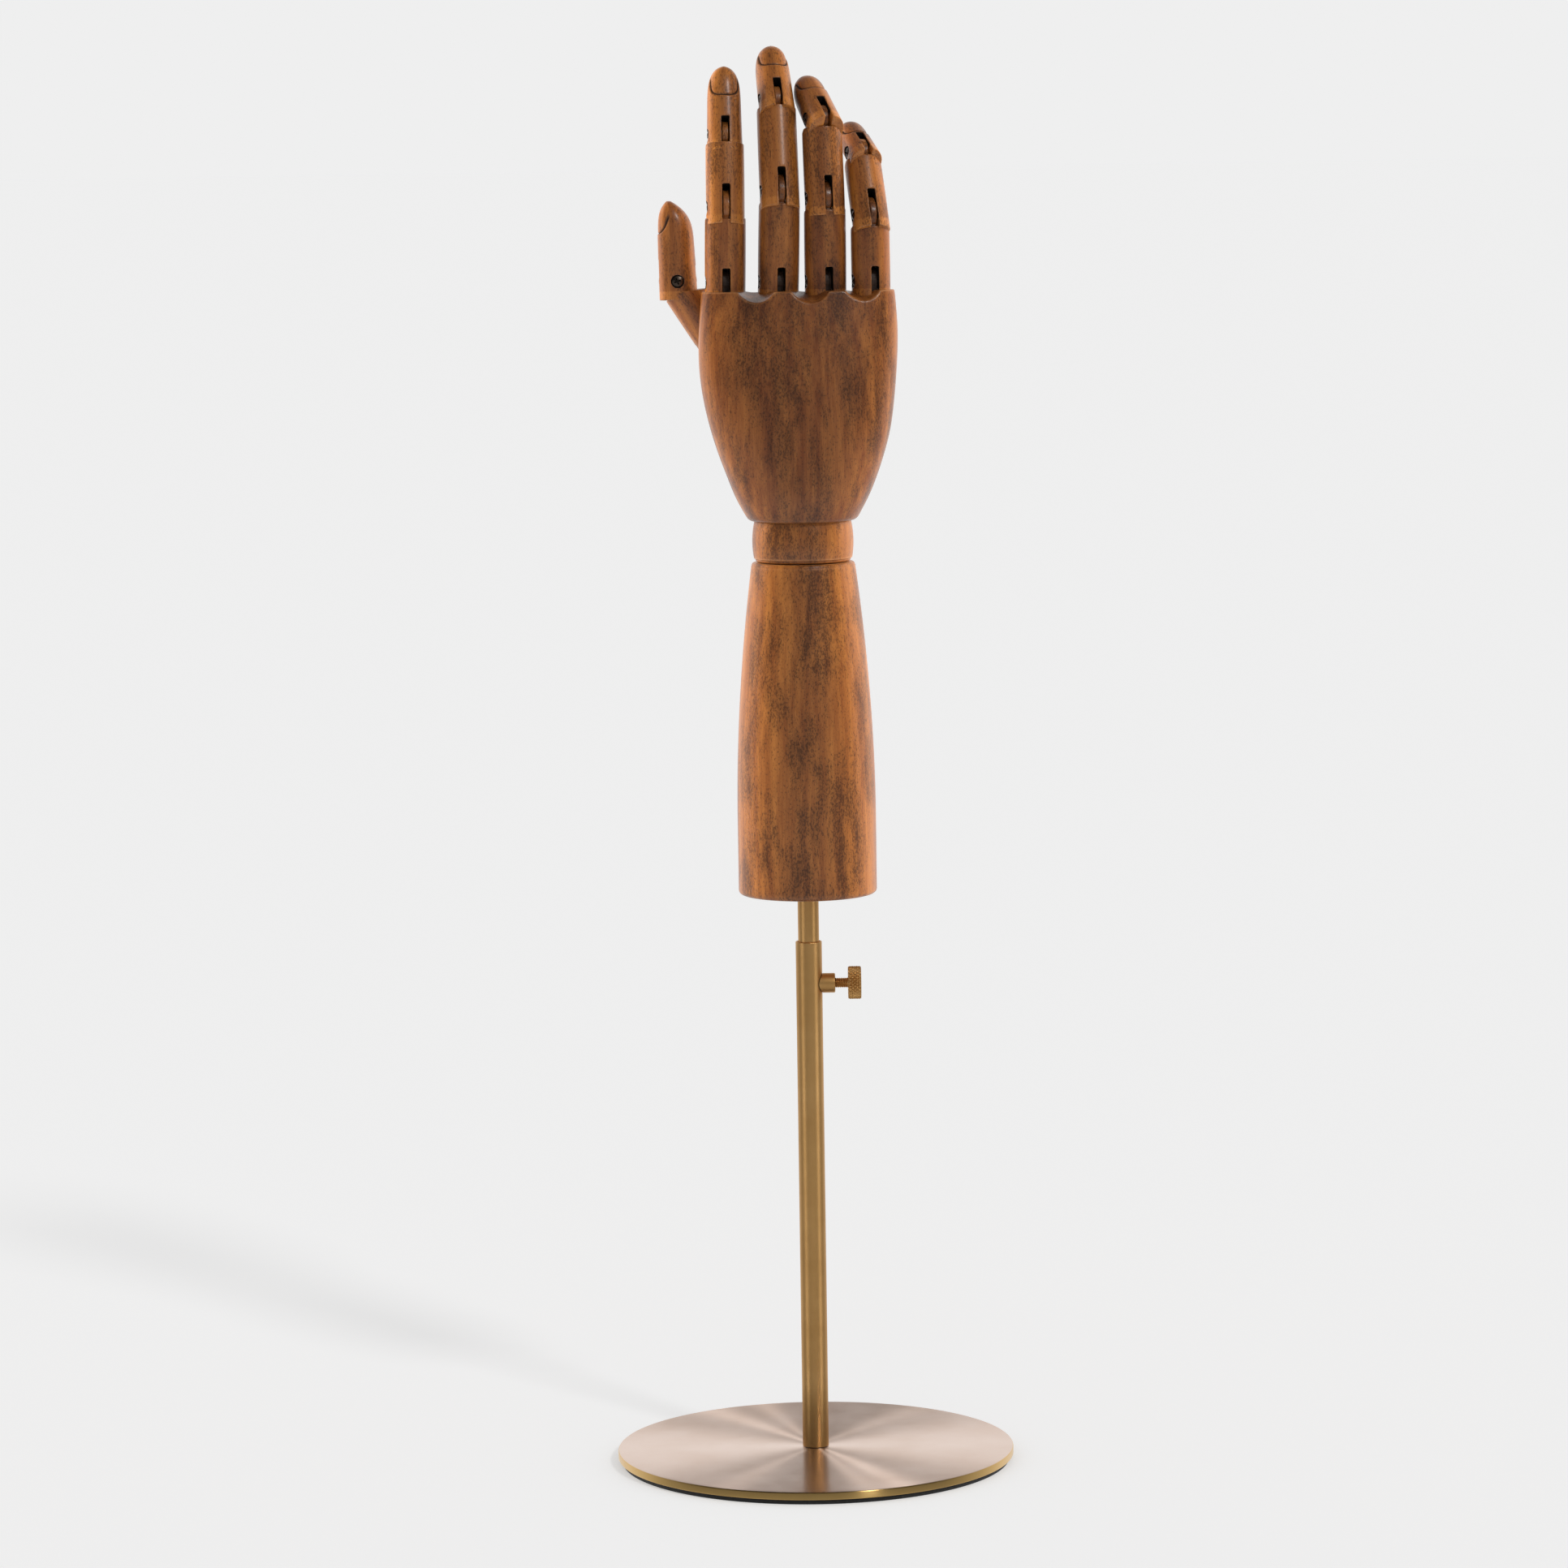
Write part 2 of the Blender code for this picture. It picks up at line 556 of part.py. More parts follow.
def thumb_frame(lean):
    """Frame on the thumb's base hinge, for a lean out from upright in degrees."""
    a = math.radians(lean)
    return frame_of(THUMB_HINGE, (-math.sin(a), 0.0, math.cos(a)), (math.cos(a), 0.0, math.sin(a)))


def build_fingers():
    """Three segments and three hinge screws for each of the four fingers."""
    rises = (KNUCKLE_H - 0.15, MIDDLE_H, END_H)
    tongues = (KNUCKLE_TONGUE, MIDDLE_TONGUE, END_TONGUE)
    parts = ("proximal", "middle", "tip")
    for finger, spec in FINGERS.items():
        frame = finger_base(spec)
        twists = (*spec["twists"], 0.0)
        for k, part in enumerate(parts):
            frame = frame @ turn("X", -spec["bends"][k])
            is_tip = k == 2
            segment(f"{finger}_{part}", frame, spec["lengths"][k], spec["radii"][k],
                    rises[k], None if is_tip else rises[k + 1], tongues[k],
                    None if is_tip else tongues[k + 1], twists[k], -1)
            frame = frame @ shift(z=spec["lengths"][k]) @ turn("Z", twists[k])


def build_thumb():
    """Two thumb segments; their hinges run front to back."""
    frame = thumb_frame(THUMB_LEAN)
    segment("thumb_proximal", frame, THUMB_LENGTHS[0], (8.0, 7.9), KNUCKLE_H + 0.6, MIDDLE_H,
            KNUCKLE_TONGUE + 0.8, MIDDLE_TONGUE + 0.6, 0.0, 1)
    frame = frame @ shift(z=THUMB_LENGTHS[0]) @ turn("X", -THUMB_BEND)
    segment("thumb_tip", frame, THUMB_LENGTHS[1], (7.4, 6.5), MIDDLE_H, None,
            MIDDLE_TONGUE + 0.6, None, 0.0, 1)


def build_palm():
    """Palm block with socket, troughs, mortises and the thumb's shoulder."""
    rings = [oval(wide, deep, z, 0.0, x, power, 32) for z, wide, x, deep, power in PALM_STATIONS]
    palm = raw_object("palm", loft(rings))
    cuts = []
    a = np.radians(np.linspace(90.0, 52.0, 5))
    ball = [(SOCKET_R * math.sin(t), WRIST_Z + SOCKET_R * math.cos(t)) for t in a]
    bowl = [(0.0, WRIST_Z)] + ball
    for degrees in (42.0, 32.0, 22.0):
        t = math.radians(degrees)
        bowl.append((SOCKET_R * math.sin(t), WRIST_Z + SOCKET_R * math.cos(t)))
    bowl += [(5.2, WRIST_Z + 19.6), (5.2, 386.0), (0.0, 386.0)]
    cuts.append((lathe(bowl, 36), None))
    pilot = lathe([(0.0, 380.0), (1.45, 380.0), (1.45, 397.5), (0.0, 397.5)], 12)
    cuts.append((pilot, None))
    for x, fan in TROUGHS:
        bar = lathe([(0.0, -40.0), (TROUGH_R, -40.0), (TROUGH_R, 40.0), (0.0, 40.0)], 32)
        frame = (shift(x=x) @ turn("Z", fan)
                 @ shift(0.0, TROUGH_FRONT, PALM_TOP - TROUGH_DEPTH + TROUGH_R)
                 @ turn("X", 90.0 + TROUGH_RISE))
        cuts.append((bar, frame))
    chamfer = prism(upper_cut(KNUCKLE_H, 45.0), -60.0, 60.0)
    cuts.append((chamfer, shift(z=PALM_TOP + KNUCKLE_H)))
    seat = thumb_frame(THUMB_SEAT_LEAN)
    rise = KNUCKLE_H + 0.6
    sweep = [(-30.0, -rise), (9.0, -rise), (16.0, 4.0), (40.0, 26.0), (40.0, 60.0), (-30.0, 60.0)]
    cuts.append((prism(sweep, -30.0, 8.6), seat))
    for finger, spec in FINGERS.items():
        half = SLOT_W / 2
        cuts.append((box((-half, -4.9, -KNUCKLE_H - 10.3), (half, 4.9, 0.0)), finger_base(spec)))
    half = SLOT_W / 2
    cuts.append((box((-half, -5.1, -rise - 9.3), (half, 5.1, 0.0)), seat))
    combine(palm, cuts)
    settle(palm, "stained_wood", (0.0, 0.0, WRIST_Z))
    for finger, spec in FINGERS.items():
        knuckle_tongue(f"{finger}_knuckle", finger_base(spec), KNUCKLE_TONGUE,
                       -KNUCKLE_H - 10.0, 4.55)
    knuckle_tongue("thumb_knuckle", seat, KNUCKLE_TONGUE + 0.8, -rise - 9.0, 4.75)
    eye = raw_object("palm_eye", ring_eye(2.4, 0.8, 378.2))
    thread = lathe([(0.0, 380.9), (1.1, 380.9), (1.1, 396.0), (0.0, 397.0)], 10)
    settle(combine(eye, [(thread, None)], "UNION"), "plain_steel", (0.0, 0.0, WRIST_Z))


def knuckle_tongue(name, frame, radius, foot_low, foot_half):
    """Hinge tongue let into a mortise of the palm."""
    half = SLOT_W / 2 - GAP
    item = raw_object(name, prism(tongue_outline(radius, foot_low, foot_half), -half, half))
    hole = lathe([(0.0, -3.0), (PIN_R + GAP, -3.0), (PIN_R + GAP, 3.0), (0.0, 3.0)], 12)
    combine(item, [(hole, turn("Y", 90.0) @ turn("Z", 5.0))])
    settle(item, "hinge_wood", tuple(frame[:3, 3]), frame)


def main():
    """Build every piece of the hand and its stand."""
    clear_scene()
    build_stand()
    build_forearm()
    build_wrist()
    build_palm()
    build_fingers()
    build_thumb()


main()
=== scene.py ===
"""Looks of a jointed wooden display hand on a telescoping brass stand.

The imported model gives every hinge, body and size; this script sands and carves the
wooden pieces, turns and knurls the brass ones and gives each its finish.  Shapes are
worked out in millimetres and written into their meshes in metres.
"""
from __future__ import annotations

import json
import logging
import math
from dataclasses import dataclass
from enum import Enum

import bpy
import numpy as np
from mathutils import Matrix

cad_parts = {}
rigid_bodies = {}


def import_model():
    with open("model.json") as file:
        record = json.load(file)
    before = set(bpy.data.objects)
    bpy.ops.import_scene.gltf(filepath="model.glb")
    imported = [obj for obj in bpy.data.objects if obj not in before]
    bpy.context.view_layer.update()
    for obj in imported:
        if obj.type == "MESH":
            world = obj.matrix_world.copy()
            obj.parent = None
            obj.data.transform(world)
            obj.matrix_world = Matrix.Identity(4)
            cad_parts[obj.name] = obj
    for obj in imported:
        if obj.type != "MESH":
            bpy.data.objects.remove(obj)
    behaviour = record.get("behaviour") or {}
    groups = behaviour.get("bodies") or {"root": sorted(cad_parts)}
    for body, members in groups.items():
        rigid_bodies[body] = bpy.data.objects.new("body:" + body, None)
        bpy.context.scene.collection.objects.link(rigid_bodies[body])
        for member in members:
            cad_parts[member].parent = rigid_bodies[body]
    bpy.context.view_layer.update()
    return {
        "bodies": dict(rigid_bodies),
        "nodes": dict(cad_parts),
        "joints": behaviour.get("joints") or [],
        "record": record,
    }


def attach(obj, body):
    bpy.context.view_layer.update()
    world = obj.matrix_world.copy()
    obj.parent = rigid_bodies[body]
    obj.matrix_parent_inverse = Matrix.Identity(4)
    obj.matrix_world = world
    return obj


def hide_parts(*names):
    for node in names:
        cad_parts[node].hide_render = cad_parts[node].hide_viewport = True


LOG = logging.getLogger("display_hand")
MM = 0.001
GAP = 0.3                   # clearance that the pieces keep, as in the frame
SLOT = 3.0                  # width of every hinge slot and mortise
CHAMFER = 27.0              # palm-side chamfer above each hinge, in degrees
REACH = 12.0                # how far the outlines that are cut away reach
CUTTER = 13.0               # half the width of a cutter that passes right through a segment
Shape = tuple[np.ndarray, list]


# --------------------------------------------------------------------------
# Small geometry tools, all on whole numpy arrays
# --------------------------------------------------------------------------

def shift(x: float = 0.0, y: float = 0.0, z: float = 0.0) -> np.ndarray:
    """Return a 4x4 frame that only moves."""
    frame = np.eye(4)
    frame[:3, 3] = (x, y, z)
    return frame


def turn(axis: str, degrees: float) -> np.ndarray:
    """Return a 4x4 frame that turns about X, Y or Z."""
    return np.array(Matrix.Rotation(math.radians(degrees), 4, axis))


def carried(points: np.ndarray, frame: np.ndarray) -> np.ndarray:
    """Return points carried by a 4x4 frame."""
    return points @ frame[:3, :3].T + frame[:3, 3]


def grid_faces(rows: int, columns: int, loop_rows: bool = False) -> list:
    """Quads of a grid whose columns close on themselves.

    Args:
        rows: number of rings.
        columns: points in each ring.
        loop_rows: whether the last ring joins the first.

    Returns:
        Faces as lists of point numbers, facing outwards for counter-clockwise rings
        stacked upwards.
    """
    last = rows if loop_rows else rows - 1
    i, j = np.meshgrid(np.arange(last), np.arange(columns), indexing="ij")
    up, side = (i + 1) % rows, (j + 1) % columns
    quads = np.stack([i * columns + j, i * columns + side,
                      up * columns + side, up * columns + j], axis=-1)
    return quads.reshape(-1, 4).tolist()


def skin(rings: np.ndarray) -> Shape:
    """Skin a stack of closed rings (rows, columns, 3) and cap both ends."""
    rows, columns = rings.shape[:2]
    faces = grid_faces(rows, columns)
    faces.append(list(range(columns))[::-1])
    faces.append(list(range((rows - 1) * columns, rows * columns)))
    return rings.reshape(-1, 3), faces


def lathe(profile: np.ndarray, around: int) -> Shape:
    """Turn an outline about Z.

    A point at radius r and height z becomes (r cos a, r sin a, z) for every angle a.
    An outline that ends at tiny radii at both ends is capped; any other is a closed
    loop, which makes a hollow piece.

    Args:
        profile: (points, 2) array of radius and height.
        around: points in each ring.

    Returns:
        Points and faces.
    """
    a = np.linspace(0.0, 2.0 * math.pi, around, endpoint=False)
    radius, height = profile[:, :1], profile[:, 1:]
    rings = np.stack([radius * np.cos(a), radius * np.sin(a),
                      np.broadcast_to(height, (len(profile), around))], axis=-1)
    if profile[0, 0] < 0.02 and profile[-1, 0] < 0.02:
        return skin(rings)
    return rings.reshape(-1, 3), grid_faces(len(profile), around, loop_rows=True)


def arc(centre: tuple[float, float], size: float, start: float, stop: float,
        count: int) -> np.ndarray:
    """Points of a circular arc in an outline, from one angle to another in degrees.

    At angle a a point is centre + size (cos a, sin a).
    """
    a = np.radians(np.linspace(start, stop, count))
    return np.column_stack([centre[0] + size * np.cos(a), centre[1] + size * np.sin(a)])


def bar(radius: float, low: float, high: float, around: int) -> Shape:
    """Plain round bar about Z from low to high."""
    return lathe(np.array([(0.0, low), (radius, low), (radius, high), (0.0, high)]), around)


def standing(side: np.ndarray, up: np.ndarray, place: np.ndarray) -> np.ndarray:
    """Return a 4x4 frame at a place from its X and Z directions."""
    frame = np.eye(4)
    frame[:3, 0], frame[:3, 1], frame[:3, 2] = side, np.cross(up, side), up
    frame[:3, 3] = place
    return frame


def prism(outline: list, low: float, high: float) -> Shape:
    """Extrude a (y, z) outline along X from low to high."""
    flat = np.array(outline, dtype=float)
    rings = np.stack([np.column_stack([np.full(len(flat), x), flat]) for x in (low, high)])
    return skin(rings)


def block(low: tuple, high: tuple) -> Shape:
    """Axis-aligned block between two corners."""
    return prism([(low[1], low[2]), (high[1], low[2]), (high[1], high[2]), (low[1], high[2])],
                 low[0], high[0])


def smooth_curve(knots: np.ndarray, values: np.ndarray, at: np.ndarray) -> np.ndarray:
    """Natural cubic curve through (knots, values), read at other places.

    The second slopes solve the usual three-term rows, with zero at both ends.
    """
    step = np.diff(knots)
    rows = np.eye(len(knots))
    right = np.zeros(len(knots))
    inner = np.arange(1, len(knots) - 1)
    rows[inner, inner - 1] = step[:-1]
    rows[inner, inner] = 2.0 * (step[:-1] + step[1:])
    rows[inner, inner + 1] = step[1:]
    slope = np.diff(values) / step
    right[inner] = 6.0 * (slope[1:] - slope[:-1])
    second = np.linalg.solve(rows, right)
    k = np.clip(np.searchsorted(knots, at) - 1, 0, len(step) - 1)
    h, a, b = step[k], (knots[k + 1] - at), (at - knots[k])
    return ((second[k] * a ** 3 + second[k + 1] * b ** 3) / (6.0 * h)
            + (values[k] / h - second[k] * h / 6.0) * a
            + (values[k + 1] / h - second[k + 1] * h / 6.0) * b)


def oval_rings(half_x: np.ndarray, half_y: np.ndarray, z: np.ndarray, x: np.ndarray,
               y: np.ndarray, power: np.ndarray, around: int) -> np.ndarray:
    """Superellipse rings, one for each height.

    At angle a a ring's point is x + half_x sign(cos a)|cos a|^(2/power), and the same
    with the sine for y.
    """
    a = np.linspace(0.0, 2.0 * math.pi, around, endpoint=False)[None, :]
    c, s, bend = np.cos(a), np.sin(a), 2.0 / power[:, None]
    px = x[:, None] + half_x[:, None] * np.sign(c) * np.abs(c) ** bend
    py = y[:, None] + half_y[:, None] * np.sign(s) * np.abs(s) ** bend
    return np.stack([px, py, np.broadcast_to(z[:, None], px.shape)], axis=-1)


# --------------------------------------------------------------------------
# Pieces in the scene
# --------------------------------------------------------------------------

def raw_object(name: str, shape: Shape) -> bpy.types.Object:
    """Make an object from points and faces in millimetres, facing outwards."""
    mesh = bpy.data.meshes.new(name)
    mesh.from_pydata(shape[0].tolist(), [], shape[1])
    mesh.validate()
    item = bpy.data.objects.new(name, mesh)
    bpy.context.scene.collection.objects.link(item)
    return item


def points_of(mesh: bpy.types.Mesh) -> np.ndarray:
    """Return a mesh's points as an (n, 3) array."""
    flat = np.empty(len(mesh.vertices) * 3, dtype=np.float32)
    mesh.vertices.foreach_get("co", flat)
    return flat.reshape(-1, 3).astype(float)


def set_points(mesh: bpy.types.Mesh, points: np.ndarray) -> None:
    """Write an (n, 3) array back as a mesh's points."""
    mesh.vertices.foreach_set("co", points.astype(np.float32).ravel())
    mesh.update()


def normals_of(mesh: bpy.types.Mesh) -> np.ndarray:
    """Return a mesh's point normals as an (n, 3) array."""
    flat = np.empty(len(mesh.vertices) * 3, dtype=np.float32)
    mesh.vertex_normals.foreach_get("vector", flat)
    return flat.reshape(-1, 3).astype(float)


def store(mesh: bpy.types.Mesh, name: str, values: np.ndarray) -> None:
    """Store one number or one vector at every point under a name."""
    kind, key = ("FLOAT", "value") if values.ndim == 1 else ("FLOAT_VECTOR", "vector")
    layer = mesh.attributes.new(name, kind, "POINT")
    layer.data.foreach_set(key, values.astype(np.float32).ravel())


def ridges(mesh: bpy.types.Mesh, reach: int = 3) -> np.ndarray:
    """How sharply each point stands out (positive) or lies in a hollow (negative).

    A point's height above the mean of its neighbours, along its normal and in
    millimetres, averaged over its surroundings a few times.
    """
    points, normals = points_of(mesh), normals_of(mesh)
    ends = np.empty(len(mesh.edges) * 2, dtype=np.int32)
    mesh.edges.foreach_get("vertices", ends)
    a, b = ends.reshape(-1, 2).T
    count = len(points)
    degree = np.maximum(np.bincount(ends, minlength=count), 1)

    def around(values: np.ndarray) -> np.ndarray:
        """Mean of a value over each point's neighbours."""
        total = np.bincount(a, values[b], count) + np.bincount(b, values[a], count)
        return total / degree

    mean = np.column_stack([around(points[:, k]) for k in range(3)])
    height = np.einsum("ij,ij->i", points - mean, normals)
    for _ in range(reach):
        height = 0.5 * height + 0.5 * around(height)
    return height


class Carving:
    """A solid cut with other solids in its own millimetre frame, then sanded."""

    def __init__(self, name: str, shape: Shape) -> None:
        """Start from a blank.

        Args:
            name: piece name.
            shape: points and faces of the blank.
        """
        self.item = raw_object(name, shape)

    def _finish(self) -> None:
        """Keep the mesh as the modifiers now show it."""
        view = bpy.context.evaluated_depsgraph_get()
        finished = bpy.data.meshes.new_from_object(self.item.evaluated_get(view))
        self.item.modifiers.clear()
        old = self.item.data
        self.item.data = finished
        bpy.data.meshes.remove(old)

    def _combine(self, shape: Shape, frame: np.ndarray | None, operation: str) -> None:
        """Boolean one other solid into this one."""
        points = shape[0] if frame is None else carried(shape[0], frame)
        tool = raw_object("tool", (points, shape[1]))
        step = self.item.modifiers.new("step", "BOOLEAN")
        step.operation, step.solver, step.object = operation, "EXACT", tool
        self._finish()
        bpy.data.objects.remove(tool, do_unlink=True)

    def cut(self, shape: Shape, frame: np.ndarray | None = None) -> None:
        """Take a solid away."""
        self._combine(shape, frame, "DIFFERENCE")

    def join(self, shape: Shape, frame: np.ndarray | None = None) -> None:
        """Add a solid."""
        self._combine(shape, frame, "UNION")

    def sand(self, grit: float, passes: int) -> None:
        """Resurface at one even mesh size and ease every edge.

        Args:
            grit: mesh size in millimetres.
            passes: smoothing passes; more gives rounder edges.
        """
        surface = self.item.modifiers.new("surface", "REMESH")
        surface.mode, surface.voxel_size, surface.use_smooth_shade = "VOXEL", grit, True
        ease = self.item.modifiers.new("ease", "SMOOTH")
        ease.factor, ease.iterations = 0.5, passes
        self._finish()

    def crease(self, degrees: float) -> None:
        """Shade smooth, with edges sharper than an angle kept crisp."""
        crisp(self.item.data, degrees)


def crisp(mesh: bpy.types.Mesh, degrees: float) -> None:
    """Shade a mesh smooth, with edges sharper than an angle kept crisp."""
    mesh.polygons.foreach_set("use_smooth", np.ones(len(mesh.polygons), dtype=bool))
    mesh.set_sharp_from_angle(angle=math.radians(degrees))


def settle(item: bpy.types.Object, frame: np.ndarray | None, body: str, nodes: tuple[str, ...],
           material: bpy.types.Material) -> None:
    """Set a finished piece in the model, in metres, and hide the solids that it stands for.

    Args:
        item: piece in millimetres.
        frame: its place in the model in millimetres, or None.
        body: body that it rides on.
        nodes: solids that it replaces.
        material: its finish.
    """
    points = points_of(item.data)
    if frame is not None:
        points = carried(points, frame)
    set_points(item.data, points * MM)
    item.data.materials.clear()
    item.data.materials.append(material)
    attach(item, body)
    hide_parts(*nodes)
    LOG.info("%s: %d faces on %s", item.name, len(item.data.polygons), body)


def turned_piece(name: str, shape: Shape, degrees: float) -> bpy.types.Object:
    """Make a turned piece, shaded smooth except at edges sharper than an angle."""
    item = raw_object(name, shape)
    crisp(item.data, degrees)
    return item


# --------------------------------------------------------------------------
# Finishes
# --------------------------------------------------------------------------

class Graph:
    """Short way to write a shader tree."""

    def __init__(self, tree: bpy.types.NodeTree) -> None:
        """Keep the tree."""
        self.tree = tree

    def add(self, kind: str, inputs: dict | None = None, **settings: object) -> bpy.types.Node:
        """Add a node.

        Args:
            kind: node type without the ShaderNode prefix.
            inputs: socket name or number to a value or another node's socket.
            **settings: node properties.

        Returns:
            The node.
        """
        node = self.tree.nodes.new("ShaderNode" + kind)
        for key, value in settings.items():
            setattr(node, key, value)
        self.feed(node, inputs or {})
        return node

    def feed(self, node: bpy.types.Node, inputs: dict) -> None:
        """Link or set a node's inputs, each from a socket or a value."""
        for key, value in inputs.items():
            if isinstance(value, bpy.types.NodeSocket):
                self.tree.links.new(value, node.inputs[key])
            else:
                node.inputs[key].default_value = value

    def group(self, tree: bpy.types.NodeTree, inputs: dict) -> bpy.types.Node:
        """Add a node group; its sockets exist only once its tree is set."""
        node = self.add("Group", node_tree=tree)
        self.feed(node, inputs)
        return node

    def math(self, operation: str, *values: object) -> bpy.types.NodeSocket:
        """Return the result of a Math node."""
        node = self.add("Math", dict(enumerate(values)), operation=operation)
        return node.outputs[0]

    def noise(self, vector: bpy.types.NodeSocket, scale: float, detail: float = 2.0,
              roughness: float = 0.5) -> bpy.types.NodeSocket:
        """Return a noise value."""
        return self.add("TexNoise", {"Vector": vector, "Scale": scale, "Detail": detail,
                                     "Roughness": roughness}).outputs["Fac"]

    def stretch(self, vector: bpy.types.NodeSocket, scale: tuple) -> bpy.types.NodeSocket:
        """Return a vector with each part multiplied."""
        return self.add("VectorMath", {0: vector, 1: scale}, operation="MULTIPLY").outputs[0]

    def ramp(self, value: bpy.types.NodeSocket, low: float, high: float,
             to_low: float = 0.0, to_high: float = 1.0) -> bpy.types.NodeSocket:
        """Return a value mapped from one range to another and held inside it."""
        return self.add("MapRange", {"Value": value, "From Min": low, "From Max": high,
                                     "To Min": to_low, "To Max": to_high}).outputs[0]

    def mix(self, factor: bpy.types.NodeSocket, a: object, b: object) -> bpy.types.NodeSocket:
        """Return a mix of two colours, each a socket or three numbers."""
        first, second = ((*c, 1.0) if isinstance(c, tuple) else c for c in (a, b))
        node = self.add("Mix", {0: factor, 6: first, 7: second}, data_type="RGBA")
        return node.outputs[2]

    def bump(self, height: bpy.types.NodeSocket, strength: float,
             distance: float) -> bpy.types.NodeSocket:
        """Return a normal raised by a height, with the distance in metres."""
        node = self.add("Bump", {"Strength": strength, "Distance": distance, "Height": height})
        return node.outputs[0]


def new_group(name: str, inputs: dict[str, str], outputs: dict[str, str]) -> tuple:
    """Start a shader node group with named sockets.

    Args:
        name: group name.
        inputs: socket name to Float, Vector or Color.
        outputs: the same for what it gives.

    Returns:
        The group's Graph, its input node and its output node.
    """
    tree = bpy.data.node_groups.new(name, "ShaderNodeTree")
    for names, side in ((inputs, "INPUT"), (outputs, "OUTPUT")):
        for socket, kind in names.items():
            tree.interface.new_socket(socket, in_out=side, socket_type="NodeSocket" + kind)
    return Graph(tree), tree.nodes.new("NodeGroupInput"), tree.nodes.new("NodeGroupOutput")


class SharedEffects:
    """Node groups that several finishes use."""

    def __init__(self) -> None:
        """Build each group once."""
        self.figure = self._wood_figure()
        self.edges = self._edge_wear_and_painted_light()
        self.turning = self._turning_marks()

    @staticmethod
    def _wood_figure() -> bpy.types.NodeTree:
        """Bands, fibres, pores and blotches of a hardwood, from millimetre coordinates."""
        g, start, end = new_group("wood_figure", {"Place": "Vector"},
                                  {"Band": "Float", "Fibre": "Float", "Pore": "Float",
                                   "Blotch": "Float"})
        place = start.outputs["Place"]
        sway = g.add("TexNoise", {"Vector": g.stretch(place, (0.05, 0.05, 0.02)), "Scale": 1.0,
                                  "Detail": 1.0})
        bent = g.add("VectorMath", {0: place, 1: g.stretch(sway.outputs["Color"], (5.0, 5.0, 0.0))},
                     operation="ADD").outputs[0]
        band = g.noise(g.stretch(bent, (0.30, 0.30, 0.007)), 1.0, 3.0, 0.6)
        fibre = g.noise(g.stretch(bent, (2.2, 2.2, 0.07)), 1.0, 3.0, 0.7)
        blotch = g.noise(g.stretch(bent, (0.10, 0.10, 0.032)), 1.0, 5.0, 0.66)
        patch = g.ramp(blotch, 0.42, 0.66)
        grit = g.noise(g.stretch(place, (1.9, 1.9, 0.95)), 1.0, 3.0, 0.7)
        speck = g.math("ADD", grit, g.math("MULTIPLY", patch, 0.14))
        g.feed(end, {"Band": g.ramp(band, 0.33, 0.67), "Fibre": g.ramp(fibre, 0.3, 0.7),
                     "Pore": g.ramp(speck, 0.56, 0.66), "Blotch": patch})
        return g.tree

    @staticmethod
    def _edge_wear_and_painted_light() -> bpy.types.NodeTree:
        """Lighter edges and dark hollows from the stored ridge height: the lighter edges are partly
        rubbed wear and partly painted highlight, the dark hollows are painted shade.
        """
        g, start, end = new_group("edge_wear", {"Place": "Vector", "Sharp": "Float"},
                                  {"Rubbed": "Float", "Hollow": "Float"})
        ridge = g.add("Attribute", attribute_name="ridge").outputs["Fac"]
        patch = g.ramp(g.noise(start.outputs["Place"], 0.35, 3.0), 0.3, 0.7, 0.45, 1.0)
        strong = g.math("MULTIPLY", ridge, start.outputs["Sharp"])
        # Lighter on sharp edges: partly rubbed wear, partly painted highlight.
        rubbed_and_highlight = g.math("MULTIPLY", g.ramp(strong, 0.25, 1.0), patch)
        # Darker in creases and hollows: painted shade.
        hollow = g.ramp(g.math("MULTIPLY", strong, -1.0), 0.15, 1.0)
        g.feed(end, {"Rubbed": rubbed_and_highlight, "Hollow": hollow})
        return g.tree

    @staticmethod
    def _turning_marks() -> bpy.types.NodeTree:
        """Fine lines left along one running measure, with soft tarnish over them."""
        g, start, end = new_group("turning_marks", {"Run": "Float", "Place": "Vector"},
                                  {"Line": "Float", "Tarnish": "Float"})
        along = g.add("CombineXYZ", {"X": start.outputs["Run"]}).outputs[0]
        line = g.noise(along, 5200.0, 3.0, 0.7)
        tarnish = g.ramp(g.noise(start.outputs["Place"], 46.0, 5.0, 0.6), 0.35, 0.7)
        g.feed(end, {"Line": line, "Tarnish": tarnish})
        return g.tree


def blank_material(name: str) -> tuple[bpy.types.Material, Graph, bpy.types.Node]:
    """Return a new material with its graph and its Principled shader."""
    made = bpy.data.materials.new(name)
    made.use_nodes = True
    return made, Graph(made.node_tree), made.node_tree.nodes["Principled BSDF"]


